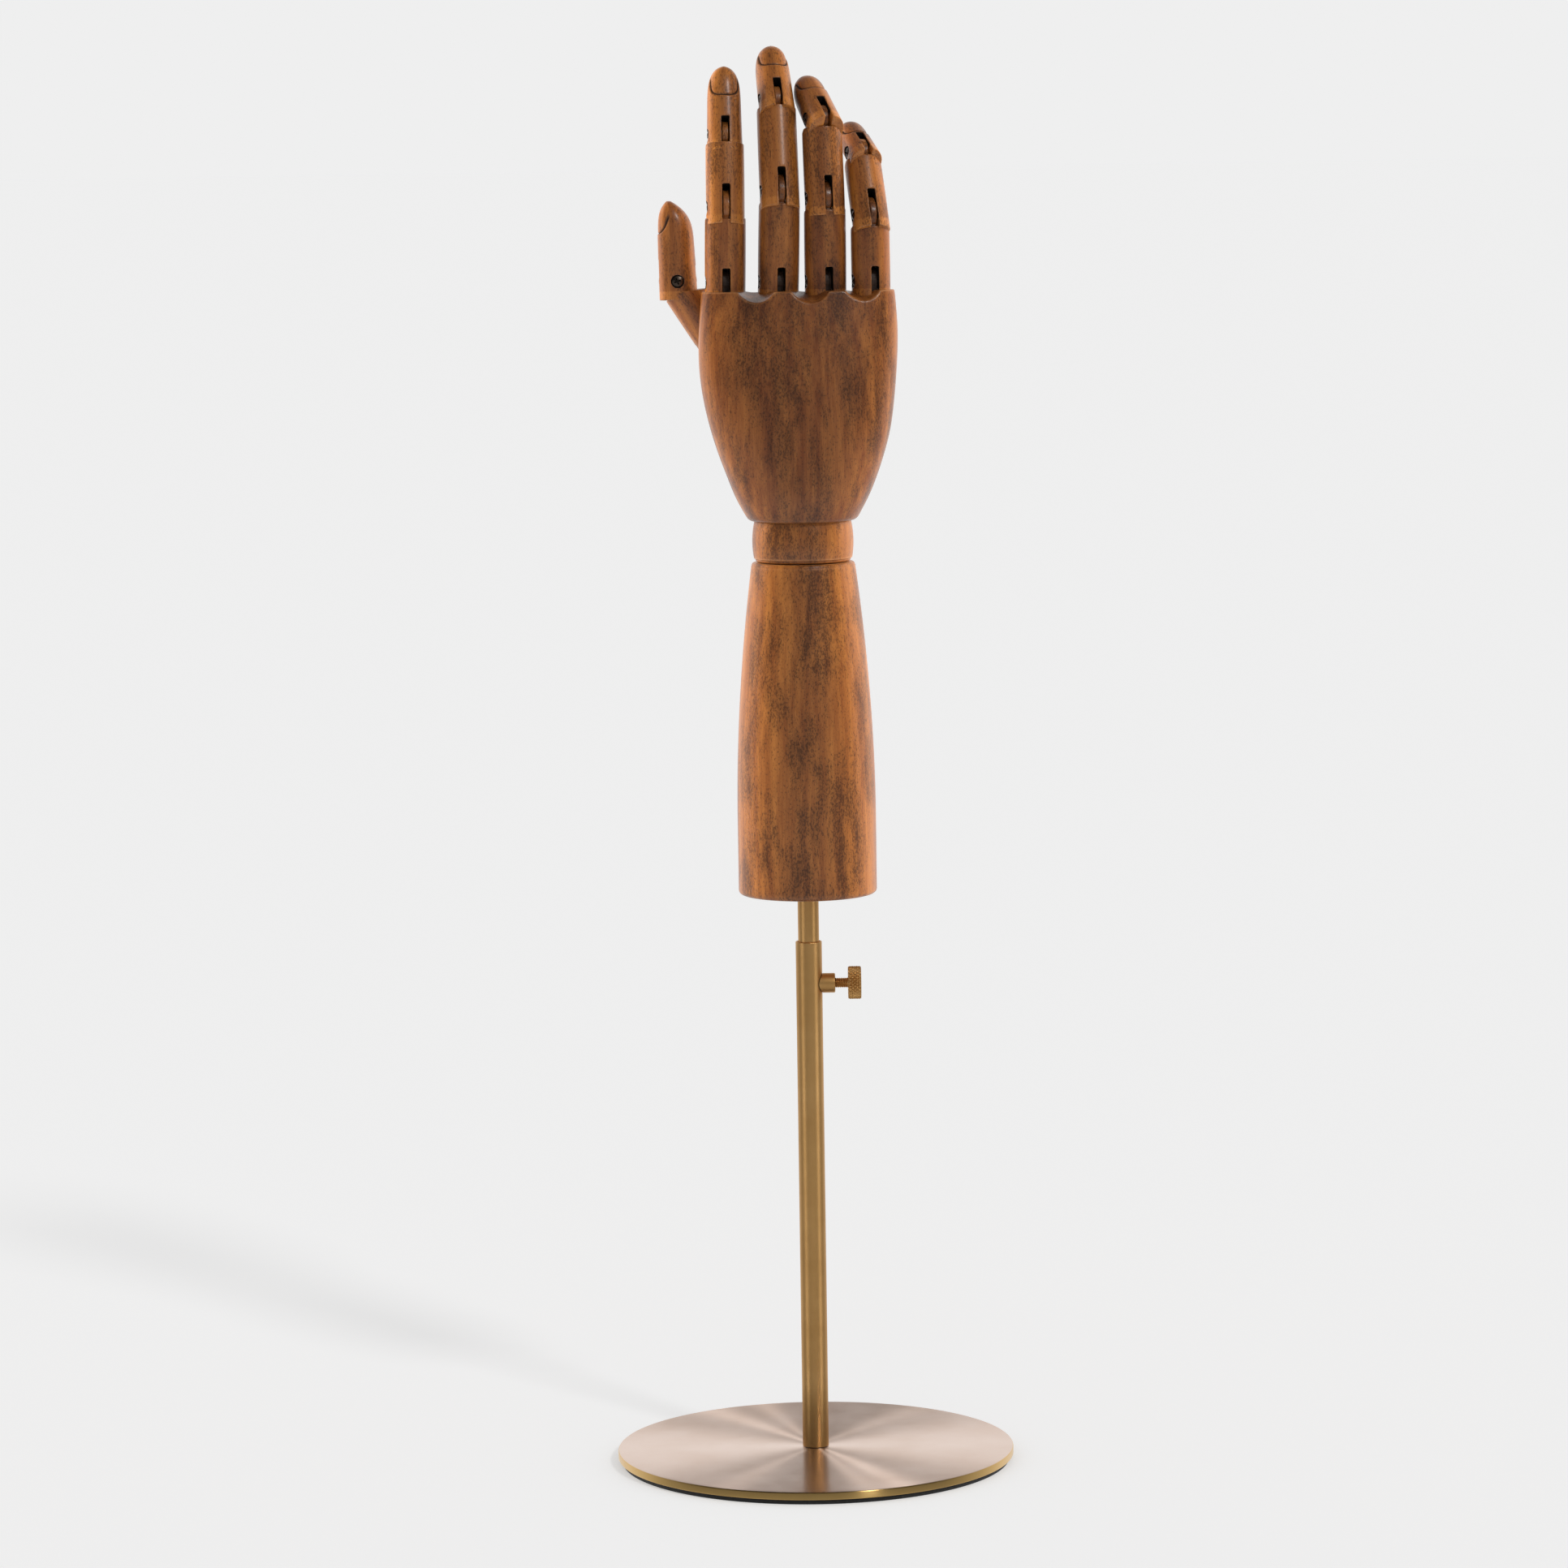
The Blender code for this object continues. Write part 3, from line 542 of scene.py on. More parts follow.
@dataclass(frozen=True)
class StainedWood:
    """Stained hardwood under semi-gloss varnish."""

    name: str = "stained_wood"
    dark: tuple = (0.030, 0.008, 0.002)
    body: tuple = (0.200, 0.050, 0.008)
    light: tuple = (0.440, 0.155, 0.026)
    # Edge colour: partly rubbed wear, partly painted highlight.
    rubbed_and_highlight: tuple = (0.560, 0.270, 0.110)
    # Near black for painted shade in hollows, slots, screw holes and the nail groove.
    painted_shade: tuple = (0.006, 0.003, 0.002)
    roughness: float = 0.40
    coat: float = 0.45
    coat_roughness: float = 0.24
    sharp: float = 14.0

    def make(self, shared: SharedEffects) -> bpy.types.Material:
        """Build the finish from the shared figure and wear groups."""
        made, g, shader = blank_material(self.name)
        place = g.add("Attribute", attribute_name="grain_place").outputs["Vector"]
        figure = g.group(shared.figure, {"Place": place})
        wear_and_shade = g.group(shared.edges, {"Sharp": self.sharp, "Place": place})
        band, fibre = figure.outputs["Band"], figure.outputs["Fibre"]
        tone = g.add("Attribute", attribute_name="tone").outputs["Fac"]
        # Painted shade stored per point: slot insides, screw holes and the nail groove.
        ink = g.add("Attribute", attribute_name="ink").outputs["Fac"]
        streak = g.math("ADD", g.math("MULTIPLY", band, 0.62), g.math("MULTIPLY", fibre, 0.38))
        colour = g.mix(g.math("ADD", streak, tone), self.body, self.light)
        blotch = g.math("SUBTRACT", g.math("MULTIPLY", figure.outputs["Blotch"], 0.48), tone)
        colour = g.mix(g.math("MAXIMUM", blotch, 0.0), colour, self.dark)
        colour = g.mix(g.math("MULTIPLY", figure.outputs["Pore"], 0.60), colour, self.dark)
        # Painted highlight on sharp edges, partly rubbed wear too.
        colour = g.mix(g.math("MULTIPLY", wear_and_shade.outputs["Rubbed"], 0.75), colour, self.rubbed_and_highlight)
        # Painted shade: slot insides, screw holes, the nail groove and hollows go near black.
        black = g.math("MAXIMUM", ink, g.math("MULTIPLY", wear_and_shade.outputs["Hollow"], 0.9))
        colour = g.mix(black, colour, self.painted_shade)
        rough = g.math("ADD", self.roughness - 0.05, g.math("MULTIPLY", fibre, 0.12))
        rough = g.math("ADD", rough, g.math("MULTIPLY", ink, 0.4))
        varnish = g.math("MULTIPLY", g.math("SUBTRACT", 1.0, ink), self.coat)
        height = g.math("SUBTRACT", g.math("MULTIPLY", fibre, 0.4), figure.outputs["Pore"])
        g.feed(shader, {"Base Color": colour, "Roughness": rough, "Coat Weight": varnish,
                        "Normal": g.bump(height, 0.14, 0.00015),
                        "Coat Roughness": self.coat_roughness})
        return made


@dataclass(frozen=True)
class HingeWood:
    """Dark oiled hardwood of the hinge tongues."""

    name: str = "hinge_wood"
    dark: tuple = (0.020, 0.010, 0.006)
    light: tuple = (0.075, 0.036, 0.020)
    roughness: float = 0.55

    def make(self, shared: SharedEffects) -> bpy.types.Material:
        """Build the finish from the shared figure group."""
        made, g, shader = blank_material(self.name)
        place = g.stretch(g.add("TexCoord").outputs["Object"], (1000.0, 1000.0, 1000.0))
        fibre = g.group(shared.figure, {"Place": place}).outputs["Fibre"]
        g.feed(shader, {"Base Color": g.mix(fibre, self.dark, self.light),
                        "Normal": g.bump(fibre, 0.2, 0.0002), "Roughness": self.roughness})
        return made


class Turned(Enum):
    """Which way the fine lines of a turned metal piece run."""

    ALONG_Z = "Z"
    ALONG_X = "X"
    FACE = "face"


@dataclass(frozen=True)
class TurnedMetal:
    """Metal with turning lines and a little tarnish."""

    name: str
    way: Turned
    bright: tuple = (0.68, 0.40, 0.155)
    dull: tuple = (0.50, 0.27, 0.085)
    roughness: float = 0.38
    lines: float = 0.10
    anisotropy: float = 0.0
    # Side colour; faces that look up keep the paler colours as a painted sheen.
    edge: tuple | None = None

    def make(self, shared: SharedEffects) -> bpy.types.Material:
        """Build the finish from the shared turning group."""
        made, g, shader = blank_material(self.name)
        place = g.add("TexCoord").outputs["Object"]
        parts = g.add("SeparateXYZ", {0: place})
        if self.way is Turned.FACE:
            x, y = parts.outputs["X"], parts.outputs["Y"]
            run = g.math("SQRT", g.math("ADD", g.math("MULTIPLY", x, x), g.math("MULTIPLY", y, y)))
        else:
            run = parts.outputs[self.way.value]
        marks = g.group(shared.turning, {"Run": run, "Place": place})
        tarnish = g.math("MULTIPLY", marks.outputs["Tarnish"], 0.6)
        colour = g.mix(tarnish, self.bright, self.dull)
        # Painted sheen: faces that look up get the paler colours, the sides keep the edge colour.
        if self.edge is not None:
            facing = g.add("SeparateXYZ", {0: g.add("TexCoord").outputs["Normal"]}).outputs["Z"]
            colour = g.mix(g.ramp(facing, 0.70, 0.95, 1.0, 0.0), colour, self.edge)
        rough = g.math("ADD", self.roughness - 0.04,
                       g.math("ADD", g.math("MULTIPLY", marks.outputs["Line"], 0.10),
                              g.math("MULTIPLY", marks.outputs["Tarnish"], 0.06)))
        g.feed(shader, {"Base Color": colour, "Roughness": rough, "Metallic": 1.0,
                        "Normal": g.bump(marks.outputs["Line"], self.lines, 0.00005)})
        if self.anisotropy:
            tangent = g.add("Tangent", direction_type="RADIAL", axis="Z")
            g.feed(shader, {"Anisotropic": self.anisotropy, "Anisotropic Rotation": 0.25,
                            "Tangent": tangent.outputs[0]})
        return made


@dataclass(frozen=True)
class DarkCoating:
    """Dark grainy surface: blackened steel or rubber."""

    name: str
    colour: tuple
    worn: tuple
    roughness: float
    metallic: float
    grain: float

    def make(self) -> bpy.types.Material:
        """Build the finish with specks in its colour and a fine grain."""
        made, g, shader = blank_material(self.name)
        place = g.add("TexCoord").outputs["Object"]
        speck = g.ramp(g.noise(place, 900.0, 4.0, 0.6), 0.45, 0.75)
        rough = g.math("ADD", self.roughness, g.math("MULTIPLY", speck, 0.12))
        grain = g.noise(place, 2600.0, 3.0, 0.6)
        g.feed(shader, {"Base Color": g.mix(speck, self.colour, self.worn), "Roughness": rough,
                        "Normal": g.bump(grain, self.grain, 0.0001), "Metallic": self.metallic})
        return made


class Finishes:
    """Every material of the object."""

    def __init__(self) -> None:
        """Build the shared groups, then each finish."""
        shared = SharedEffects()
        steel = {"bright": (0.62, 0.61, 0.59), "dull": (0.42, 0.41, 0.39)}
        self.wood = StainedWood().make(shared)
        self.tongue = HingeWood().make(shared)
        self.brass_rod = TurnedMetal("satin_brass_rod", Turned.ALONG_Z).make(shared)
        self.brass_knob = TurnedMetal("satin_brass_knob", Turned.ALONG_X).make(shared)
        # The disc's pale top colours are a painted sheen; its edge colour is the brass's own gold.
        self.brass_disc = TurnedMetal("satin_brass_disc", Turned.FACE, (0.86, 0.67, 0.565),
                                      (0.82, 0.62, 0.50), roughness=0.28, lines=0.04,
                                      anisotropy=1.0, edge=(0.80, 0.52, 0.19)).make(shared)
        self.steel = TurnedMetal("plain_steel", Turned.ALONG_Z, **steel).make(shared)
        self.black = DarkCoating("black_steel", (0.10, 0.075, 0.06), (0.22, 0.17, 0.13),
                                 0.36, 1.0, 0.12).make()
        self.rubber = DarkCoating("rubber_pad", (0.014, 0.014, 0.014), (0.03, 0.03, 0.03),
                                  0.72, 0.0, 0.30).make()


# --------------------------------------------------------------------------
# Wooden pieces
# --------------------------------------------------------------------------

def wooden(item: bpy.types.Object, frame: np.ndarray | None, body: str, nodes: tuple[str, ...],
           finishes: Finishes, plank: tuple[float, float, float],
           tone: float | np.ndarray = 0.0, ink: np.ndarray | None = None) -> None:
    """Store a wooden piece's grain coordinates, tone, ridges and painted shade, then settle it.

    Args:
        item: piece in its own millimetre frame, with its grain along Z.
        frame: its place in the model, or None.
        body: body that it rides on.
        nodes: solids that it replaces.
        finishes: the materials.
        plank: where in the plank it was cut from, in millimetres.
        tone: lighter (positive) or darker than the rest; for segments it also holds a painted
            reflection that lightens their bottom faces.
        ink: painted shade in its slot, screw hole and nail groove, 0 to 1 at each point.
    """
    count = len(item.data.vertices)
    store(item.data, "grain_place", points_of(item.data) + np.array(plank))
    store(item.data, "ridge", ridges(item.data))
    store(item.data, "tone", np.zeros(count) + tone)
    store(item.data, "ink", np.zeros(count) if ink is None else ink)
    settle(item, frame, body, nodes, finishes.wood)


@dataclass(frozen=True)
class HingeSizes:
    """Sizes of one tongue-and-slot hinge in millimetres."""

    rise: float            # hinge above the flat that the upper segment sits on
    tongue: float          # radius of the tongue
    slot: float            # height of the slot above the hinge


@dataclass
class Segment:
    """One wooden segment between two hinges, or a fingertip.

    Its frame stands on its lower hinge: X along the hinge, -Y to the nail side and Z
    along the segment.
    """

    name: str
    frame: np.ndarray
    length: float
    radii: tuple[float, float]
    below: HingeSizes
    above: HingeSizes | None
    twist: float
    head_side: int
    plank: tuple[float, float, float]
    tone: float = 0.0
    nail_width: float = 0.88
    nail_centre: float = 6.4
    nail_foot: float = 5.6
    fold: float = 70.0
    bevel: float = 45.0
    back_bevel: float = 24.0
    pin: float = 1.15
    head: float = 2.1
    foot: float = 7.0
    head_room: float = 4.0
    barrel: float = 0.12
    nail_power: float = 3.4
    nail_line: float = 0.40
    nail_plate: float = 0.20
    around: int = 72
    grit: float = 0.27

    def _blank(self) -> Shape:
        """Slightly barrelled column, or the fingertip."""
        low, high = self.radii
        if self.above is None:
            return self._tip()
        t = np.linspace(0.0, 1.0, 14)
        z = -self.foot + (self.length + self.foot + self.head_room) * t
        half = low + (high - low) * t + self.barrel * np.sin(math.pi * t)
        flat = np.zeros_like(t)
        return skin(oval_rings(half, half, z, flat, flat, flat + 2.0, self.around))

    def _tip(self) -> Shape:
        """Fingertip.

        With u from 0 halfway up to 1 at the end, the width falls as the root of
        1 - u^4, the nail side as 1 - 0.52 u^6 and the belly as 1 - 1.2 u^4, so the end
        is rounded and leans to the nail side.
        """
        low, high = self.radii
        t = 1.0 - (1.0 - np.linspace(0.0, 1.0, 60)) ** 1.6
        z = -self.foot + (self.length + self.foot) * t
        u = np.clip((t - 0.5) / 0.5, 0.0, 0.999)
        radius = low + (high - low) * t
        back, belly = 1.0 - 0.52 * u ** 6, 1.0 - 1.2 * u ** 4
        wide = np.sqrt(1.0 - u ** 4)
        flat = np.zeros_like(t)
        rings = oval_rings(radius * wide, radius * (back + belly) / 2.0, z, flat,
                           radius * (belly - back) / 2.0, flat + 2.1, self.around)
        return skin(rings)

    def _under_outline(self) -> list:
        """Outline taken away below: back bevel, flat, arc about the hinge, palm bevel."""
        rise = self.below.rise - GAP
        bend = arc((0.0, 0.0), rise, -90.0, self.bevel - 90.0, 9).tolist()
        run = REACH - bend[-1][0]
        end = [REACH, bend[-1][1] + run * math.tan(math.radians(self.bevel))]
        start = -0.42 * self.radii[0]
        back = [-REACH, -rise + (REACH + start) * math.tan(math.radians(self.back_bevel))]
        return [back, [start, -rise]] + bend + [end, [REACH, -30.0], [-REACH, -30.0]]

    def _slot_outline(self, reach: float = 13.5) -> list:
        """Slot for the lower tongue: flat roof behind, round over the tongue in front.

        The front roof keeps its clearance from the tongue up to the fold limit, then runs
        straight, so no light passes over the tongue.
        """
        near, swing = self.below.tongue + GAP, math.radians(self.fold)
        bend = arc((0.0, 0.0), near, self.fold, 90.0, 9).tolist()
        run = (reach - bend[0][0]) / math.sin(swing)
        end = [reach, bend[0][1] - run * math.cos(swing)]
        return ([[-reach, -20.0], [reach, -20.0], end] + bend
                + [[0.0, self.below.slot], [-reach, self.below.slot]])

    def _over_outline(self, rise: float) -> list:
        """Outline taken away above: flat behind and a chamfer on the palm side."""
        slope = math.tan(math.radians(CHAMFER))
        start = -rise * math.tan(math.radians(CHAMFER / 2.0))
        end = [REACH, -rise - (REACH - start) * slope]
        return [[-REACH, -rise], [start, -rise], end, [REACH, 30.0], [-REACH, 30.0]]

    def _nail(self, mesh: bpy.types.Mesh) -> np.ndarray:
        """Carve the nail's outline, flatten the nail inside it and return the outline.

        Below its centre line the outline is a superellipse, and two straight sides rise
        from it; the measure s is 0 on it and negative inside.  The cut is a narrow bell
        on s = 0.
        """
        points, normals = points_of(mesh), normals_of(mesh)
        wide, tall = self.nail_width * self.radii[1], self.nail_foot
        drop = np.minimum(points[:, 2] - (self.length - self.nail_centre), 0.0) / tall
        p = self.nail_power
        s = ((np.abs(points[:, 0] / wide) ** p + np.abs(drop) ** p) ** (1.0 / p) - 1.0) * wide
        front = np.clip((-normals[:, 1] - 0.05) / 0.25, 0.0, 1.0) * (points[:, 2] > 2.0)
        line = np.exp(-(s / 0.27) ** 2) * front
        plate = front / (1.0 + np.exp(np.clip(s / 0.2, -30.0, 30.0)))
        depth = self.nail_line * line + self.nail_plate * plate
        set_points(mesh, points - normals * depth[:, None])
        return line

    def _recess_shade(self, mesh: bpy.types.Mesh) -> np.ndarray:
        """How dark the painted shade is at each point, 0 to 1: inside the slot and the screw hole.
        """
        points = points_of(mesh)
        x, y, z = points.T
        half = SLOT / 2.0
        deep = np.clip((self.radii[0] - 0.15 - np.hypot(x, y)) / 0.5, 0.0, 1.0)
        slot = ((np.abs(x) < half + 0.2) & (z < self.below.slot + 0.3)
                & (z > 0.25 - self.below.rise)) * deep
        across = np.hypot(y, z)
        hole = (across < self.head + GAP + 0.12) * (x * self.head_side > 0.0)
        return np.maximum(slot, hole)

    def build(self, finishes: Finishes) -> None:
        """Carve, sand and finish the segment, then set its hinge screw."""
        work = Carving(self.name + "_wood", self._blank())
        work.cut(prism(self._under_outline(), -CUTTER, CUTTER))
        half = SLOT / 2.0
        work.cut(prism(self._slot_outline(), -half, half))
        if self.above is not None:
            upper = shift(z=self.length) @ turn("Z", self.twist)
            work.cut(prism(self._over_outline(self.above.rise), -CUTTER, CUTTER), upper)
            disc = arc((0.0, 0.0), self.above.tongue, 0.0, 360.0, 49)[:-1]
            work.join(prism(disc.tolist(), -half + GAP, half - GAP), upper)
            work.cut(bar(self.pin + GAP, -3.0, 3.0, 32), upper @ turn("Y", 90.0))
        work.cut(self._screw_hole(), turn("Y", 90.0 * self.head_side) @ turn("Z", 3.0))
        work.sand(self.grit if self.above is not None else self.grit * 0.82, 3)
        ink = self._recess_shade(work.item.data)
        height = points_of(work.item.data)[:, 2]
        # Painted reflection: the bottom face below the lower hinge is lightened as if lit from
        # below; the rest is the piece's own tone.
        tone_with_painted_reflection = self.tone + 0.35 * np.clip((0.45 - self.below.rise - height) / 0.2, 0.0, 1.0)
        # The nail's outline line is painted shade in its groove.
        if self.above is None:
            ink = np.maximum(ink, self._nail(work.item.data))
        wooden(work.item, self.frame, self.name, (self.name,), finishes, self.plank, tone_with_painted_reflection, ink)
        HingeScrew(self.name + "_screw", self.frame, self.radii[0], self.head_side,
                   self.pin, self.head).build(finishes)

    def _screw_hole(self) -> Shape:
        """Stepped hole for the hinge screw."""
        half = self.radii[0]
        wall, pin, head = half - 1.7, self.pin + GAP, self.head + GAP
        return lathe(np.array([(0.0, 0.2 - wall), (pin, 0.2 - wall), (pin, wall - 0.05),
                               (head, wall - 0.05), (head, half + 4.0), (0.0, half + 4.0)]), 40)


@dataclass
class HingeScrew:
    """Black cross-head screw through a hinge."""

    name: str
    frame: np.ndarray
    half: float
    head_side: int
    pin: float
    head: float
    sink: float = 1.45
    dome: float = 0.62

    def build(self, finishes: Finishes) -> None:
        """Turn the screw, cut its cross and set it in its hinge.

        The head is a low dome: its height falls with the square of the radius.
        """
        seat = self.half - self.sink
        r = np.linspace(self.head, 0.01, 12)
        dome = np.column_stack([r, seat + 1.3 - self.dome * (r / self.head) ** 2])
        shank = np.array([(0.01, 2.2 - self.half), (self.pin, 2.2 - self.half),
                          (self.pin, seat), (self.head - 0.12, seat), (self.head, seat + 0.12)])
        work = Carving(self.name + "_steel", lathe(np.vstack([shank, dome]), 48))
        wide, thin = 1.28, 0.27
        cross = np.array([(wide, -thin), (wide, thin), (thin, thin), (thin, wide), (-thin, wide),
                          (-thin, thin), (-wide, thin), (-wide, -thin), (-thin, -thin),
                          (-thin, -wide), (thin, -wide), (thin, -thin)])
        rings = np.stack([np.column_stack([cross * scale, np.full(12, seat + z)])
                          for scale, z in ((0.62, 0.25), (1.0, 1.15), (1.06, 2.0))])
        work.cut(skin(rings), turn("Z", 17.0))
        work.crease(30.0)
        settle(work.item, self.frame @ turn("Y", 90.0 * self.head_side),
               self.name[:-len("_screw")], (self.name,), finishes.black)


@dataclass
class Digit:
    """One finger or the thumb, with its places read from the model's hinges."""

    name: str
    parts: tuple[str, ...]
    radii: tuple[tuple[float, float], ...]
    tip_length: float
    hinges: tuple[HingeSizes, ...]
    plank: float
    tones: tuple[float, ...]
    thumb: bool = False

    def build(self, joints: dict, finishes: Finishes) -> None:
        """Walk up the digit and build each segment.

        Args:
            joints: child body name to its joint in the record.
            finishes: the materials.
        """
        names = [f"{self.name}_{part}" for part in self.parts]
        places = [np.array(joints[n]["pos_m"]) / MM for n in names]
        up = None
        for k, name in enumerate(names):
            joint = joints[name]
            axis = np.array(joint["axis"])
            side = axis if self.thumb else -axis
            last = k == len(names) - 1
            if last:
                low, high = joint["range_deg"]
                bend = math.radians(-high if self.thumb else low)
                toward = np.cross(up, side)
                up = up * math.cos(bend) - toward * math.sin(bend)
                length = self.tip_length
            else:
                step = places[k + 1] - places[k]
                length = float(np.linalg.norm(step))
                up = step / length
            frame = standing(side, up, places[k])
            twist = 0.0
            if not last:
                following = np.array(joints[names[k + 1]]["axis"])
                following = following if self.thumb else -following
                twist = math.degrees(math.atan2(following @ frame[:3, 1], following @ side))
            Segment(name, frame, length, self.radii[k], self.hinges[k],
                    None if last else self.hinges[k + 1], twist, 1 if self.thumb else -1,
                    (self.plank, 31.0 * k + self.plank, 57.0 * k),
                    self.tones[k]).build(finishes)


@dataclass
class Palm:
    """Palm block with its cup, troughs, mortises and thumb shoulder."""

    stations: tuple = (
        (363.9, 21.5, 0.0, 21.1, 2.0), (370.0, 24.8, 0.0, 22.0, 2.05),
        (377.4, 27.9, 0.1, 22.4, 2.1), (385.5, 30.8, 0.0, 22.4, 2.15),
        (395.0, 33.6, -0.2, 22.0, 2.25), (407.0, 35.9, -0.7, 21.0, 2.3),
        (419.0, 37.2, -0.9, 19.4, 2.4), (434.0, 37.4, -0.6, 17.0, 2.4),
        (448.4, 36.3, -0.5, 14.2, 2.4))
    bottom: float = 361.9
    top: float = 448.4
    edge: float = 1.4
    wrist: float = 354.0
    cup: float = 20.3
    troughs: tuple = ((-16.9, 2.0), (1.9, 9.0), (19.4, 22.0))
    trough_radius: float = 8.3
    trough_depth: float = 3.8
    trough_front: float = -14.2
    trough_rise: float = 15.0
    knuckle_rise: float = 3.3
    thumb_rise: float = 3.9
    thumb_seat_lean: float = 55.0
    finger_mortise: tuple[float, float] = (4.9, 13.6)
    thumb_mortise: tuple[float, float] = (5.1, 13.2)
    grit: float = 0.53

    def _blank(self) -> Shape:
        """Superellipse block whose sizes run smoothly through its stations.

        The lower edge is a quarter round: the inset at height h above the bottom is
        edge - sqrt(edge^2 - (edge - h)^2).
        """
        table = np.array(self.stations)
        low = self.bottom + self.edge * (1.0 - np.cos(np.linspace(0.0, math.pi / 2.0, 7)))
        z = np.concatenate([low[:-1], np.linspace(low[-1], self.top, 64)])
        wide, side, deep, power = (smooth_curve(table[:, 0], table[:, k], z) for k in (1, 2, 3, 4))
        h = np.clip(z - self.bottom, 0.0, self.edge)
        inset = self.edge - np.sqrt(np.maximum(self.edge ** 2 - (self.edge - h) ** 2, 0.0))
        rings = oval_rings(wide - inset, deep - inset, z, side, np.zeros_like(z), power, 144)
        return skin(rings)

    def _cup(self) -> Shape:
        """Round cup for the wrist ball, with the spring's well above it."""
        ball = arc((0.0, self.wrist), self.cup, 0.0, 75.0, 28)
        rest = [(5.2, self.wrist + 19.9), (5.2, self.top - 62.4), (0.0, self.top - 62.4)]
        return lathe(np.vstack([[(0.0, self.wrist)], ball, rest]), 96)

    def build(self, knuckles: list[np.ndarray], thumb: np.ndarray, finishes: Finishes) -> None:
        """Cut, sand and finish the palm.

        Args:
            knuckles: frames of the four finger hinges.
            thumb: place of the thumb's base hinge.
            finishes: the materials.
        """
        work = Carving("palm_wood", self._blank())
        work.cut(self._cup())
        tool = bar(self.trough_radius, -40.0, 40.0, 96)
        for x, fan in self.troughs:
            low = self.top - self.trough_depth + self.trough_radius
            work.cut(tool, shift(x=x) @ turn("Z", fan) @ shift(0.0, self.trough_front, low)
                     @ turn("X", 90.0 + self.trough_rise))
        slope = math.tan(math.radians(CHAMFER))
        start = -self.knuckle_rise * math.tan(math.radians(CHAMFER / 2.0))
        chamfer = [(start, -self.knuckle_rise), (45.0, -self.knuckle_rise - (45.0 - start) * slope),
                   (45.0, 30.0), (start, 30.0)]
        work.cut(prism(chamfer, -60.0, 60.0), shift(z=self.top + self.knuckle_rise))
        lean = math.radians(self.thumb_seat_lean)
        seat = standing(np.array([0.0, -1.0, 0.0]),
                        np.array([-math.sin(lean), 0.0, math.cos(lean)]), thumb)
        sweep = [(-30.0, -self.thumb_rise), (9.0, -self.thumb_rise), (16.0, 4.0), (40.0, 26.0),
                 (40.0, 60.0), (-30.0, 60.0)]
        work.cut(prism(sweep, -30.0, 8.6), seat)
        for places, (wide, deep) in ((knuckles, self.finger_mortise), ([seat], self.thumb_mortise)):
            for place in places:
                work.cut(block((-SLOT / 2.0, -wide, -deep), (SLOT / 2.0, wide, 0.0)), place)
        work.sand(self.grit, 3)
        wooden(work.item, None, "palm", ("palm",), finishes, (17.0, -26.0, 0.0), -0.14)


@dataclass
class Forearm:
    """Turned forearm and the wrist bead on top of it."""

    bottom: float = 219.8
    top: float = 346.2
    radius: float = 26.3
    narrowing: float = 6.8
    taper_start: float = 250.0
    foot_edge: float = 1.7
    top_edge: float = 1.1
    bore: float = 5.6
    web: tuple[float, float] = (326.0, 331.0)
    insert: float = 6.8
    insert_top: float = 245.8
    bead_centre: float = 354.0
    bead_half: float = 7.5
    bead_radius: float = 19.15
    ball: float = 19.9

    def _outline(self) -> np.ndarray:
        """Outer outline: rounded foot, straight run, taper, rounded top.

        Above the straight run the radius is radius - narrowing s^1.9 with s from 0 to
        1.  The rounded edges are quarter circles.
        """
        foot = arc((self.radius - self.foot_edge, self.bottom + self.foot_edge), self.foot_edge,
                   -90.0, 0.0, 10)
        z = np.linspace(self.bottom + self.foot_edge + 2.0, self.top - self.top_edge - 0.3, 110)
        s = np.clip((z - self.taper_start) / (self.top - self.taper_start), 0.0, 1.0)
        side = np.column_stack([self.radius - self.narrowing * s ** 1.9, z])
        rim = self.radius - self.narrowing - self.top_edge
        top = arc((rim + 0.05, self.top - self.top_edge), self.top_edge, 0.0, 90.0, 10)
        return np.vstack([foot, side, top])

    def build(self, finishes: Finishes) -> None:
        """Turn the forearm and the bead."""
        inner = np.array([(self.bore + 0.4, self.top), (self.bore, self.top - 0.4),
                          (self.bore, self.web[1]), (2.3, self.web[1]), (2.3, self.web[0]),
                          (self.bore, self.web[0]), (self.bore, self.insert_top),
                          (self.insert, self.insert_top), (self.insert, self.bottom + 0.5),
                          (self.insert + 0.5, self.bottom)])
        item = turned_piece("forearm_wood", lathe(np.vstack([self._outline(), inner]), 192), 38.0)
        wooden(item, None, "forearm", ("forearm",), finishes, (-11.0, 38.0, 40.0), 0.04)
        self._bead(finishes)

    def _bead(self, finishes: Finishes) -> None:
        """Turn the bead: a barrel band below and a ball above.

        The band's radius is bead_radius - k h^2 about its middle, with k set so that it
        meets the ball.
        """
        low = self.bead_centre - self.bead_half
        meet = self.bead_half + 0.35
        k = (self.bead_radius - math.sqrt(self.ball ** 2 - meet ** 2)) / meet ** 2
        edge = self.bead_radius - k * self.bead_half ** 2 - 0.25
        foot = arc((edge - 1.0, low + 1.0), 1.0, -90.0, 0.0, 9)
        h = np.linspace(-self.bead_half + 1.3, meet, 30)
        band = np.column_stack([self.bead_radius - k * h ** 2, self.bead_centre + h])
        start = math.degrees(math.acos(band[-1, 0] / self.ball))
        ball = arc((0.0, self.bead_centre), self.ball, start, 59.5, 24)[1:]
        bore = np.array([(5.6, self.bead_centre + 2.0), (5.6, low + 0.4), (6.0, low)])
        item = turned_piece("wrist_bead_wood", lathe(np.vstack([foot, band, ball, bore]), 160), 38.0)
        wooden(item, None, "wrist_bead", ("wrist_bead",), finishes, (24.0, 12.0, 90.0), 0.02)


# --------------------------------------------------------------------------
# Brass stand
# --------------------------------------------------------------------------

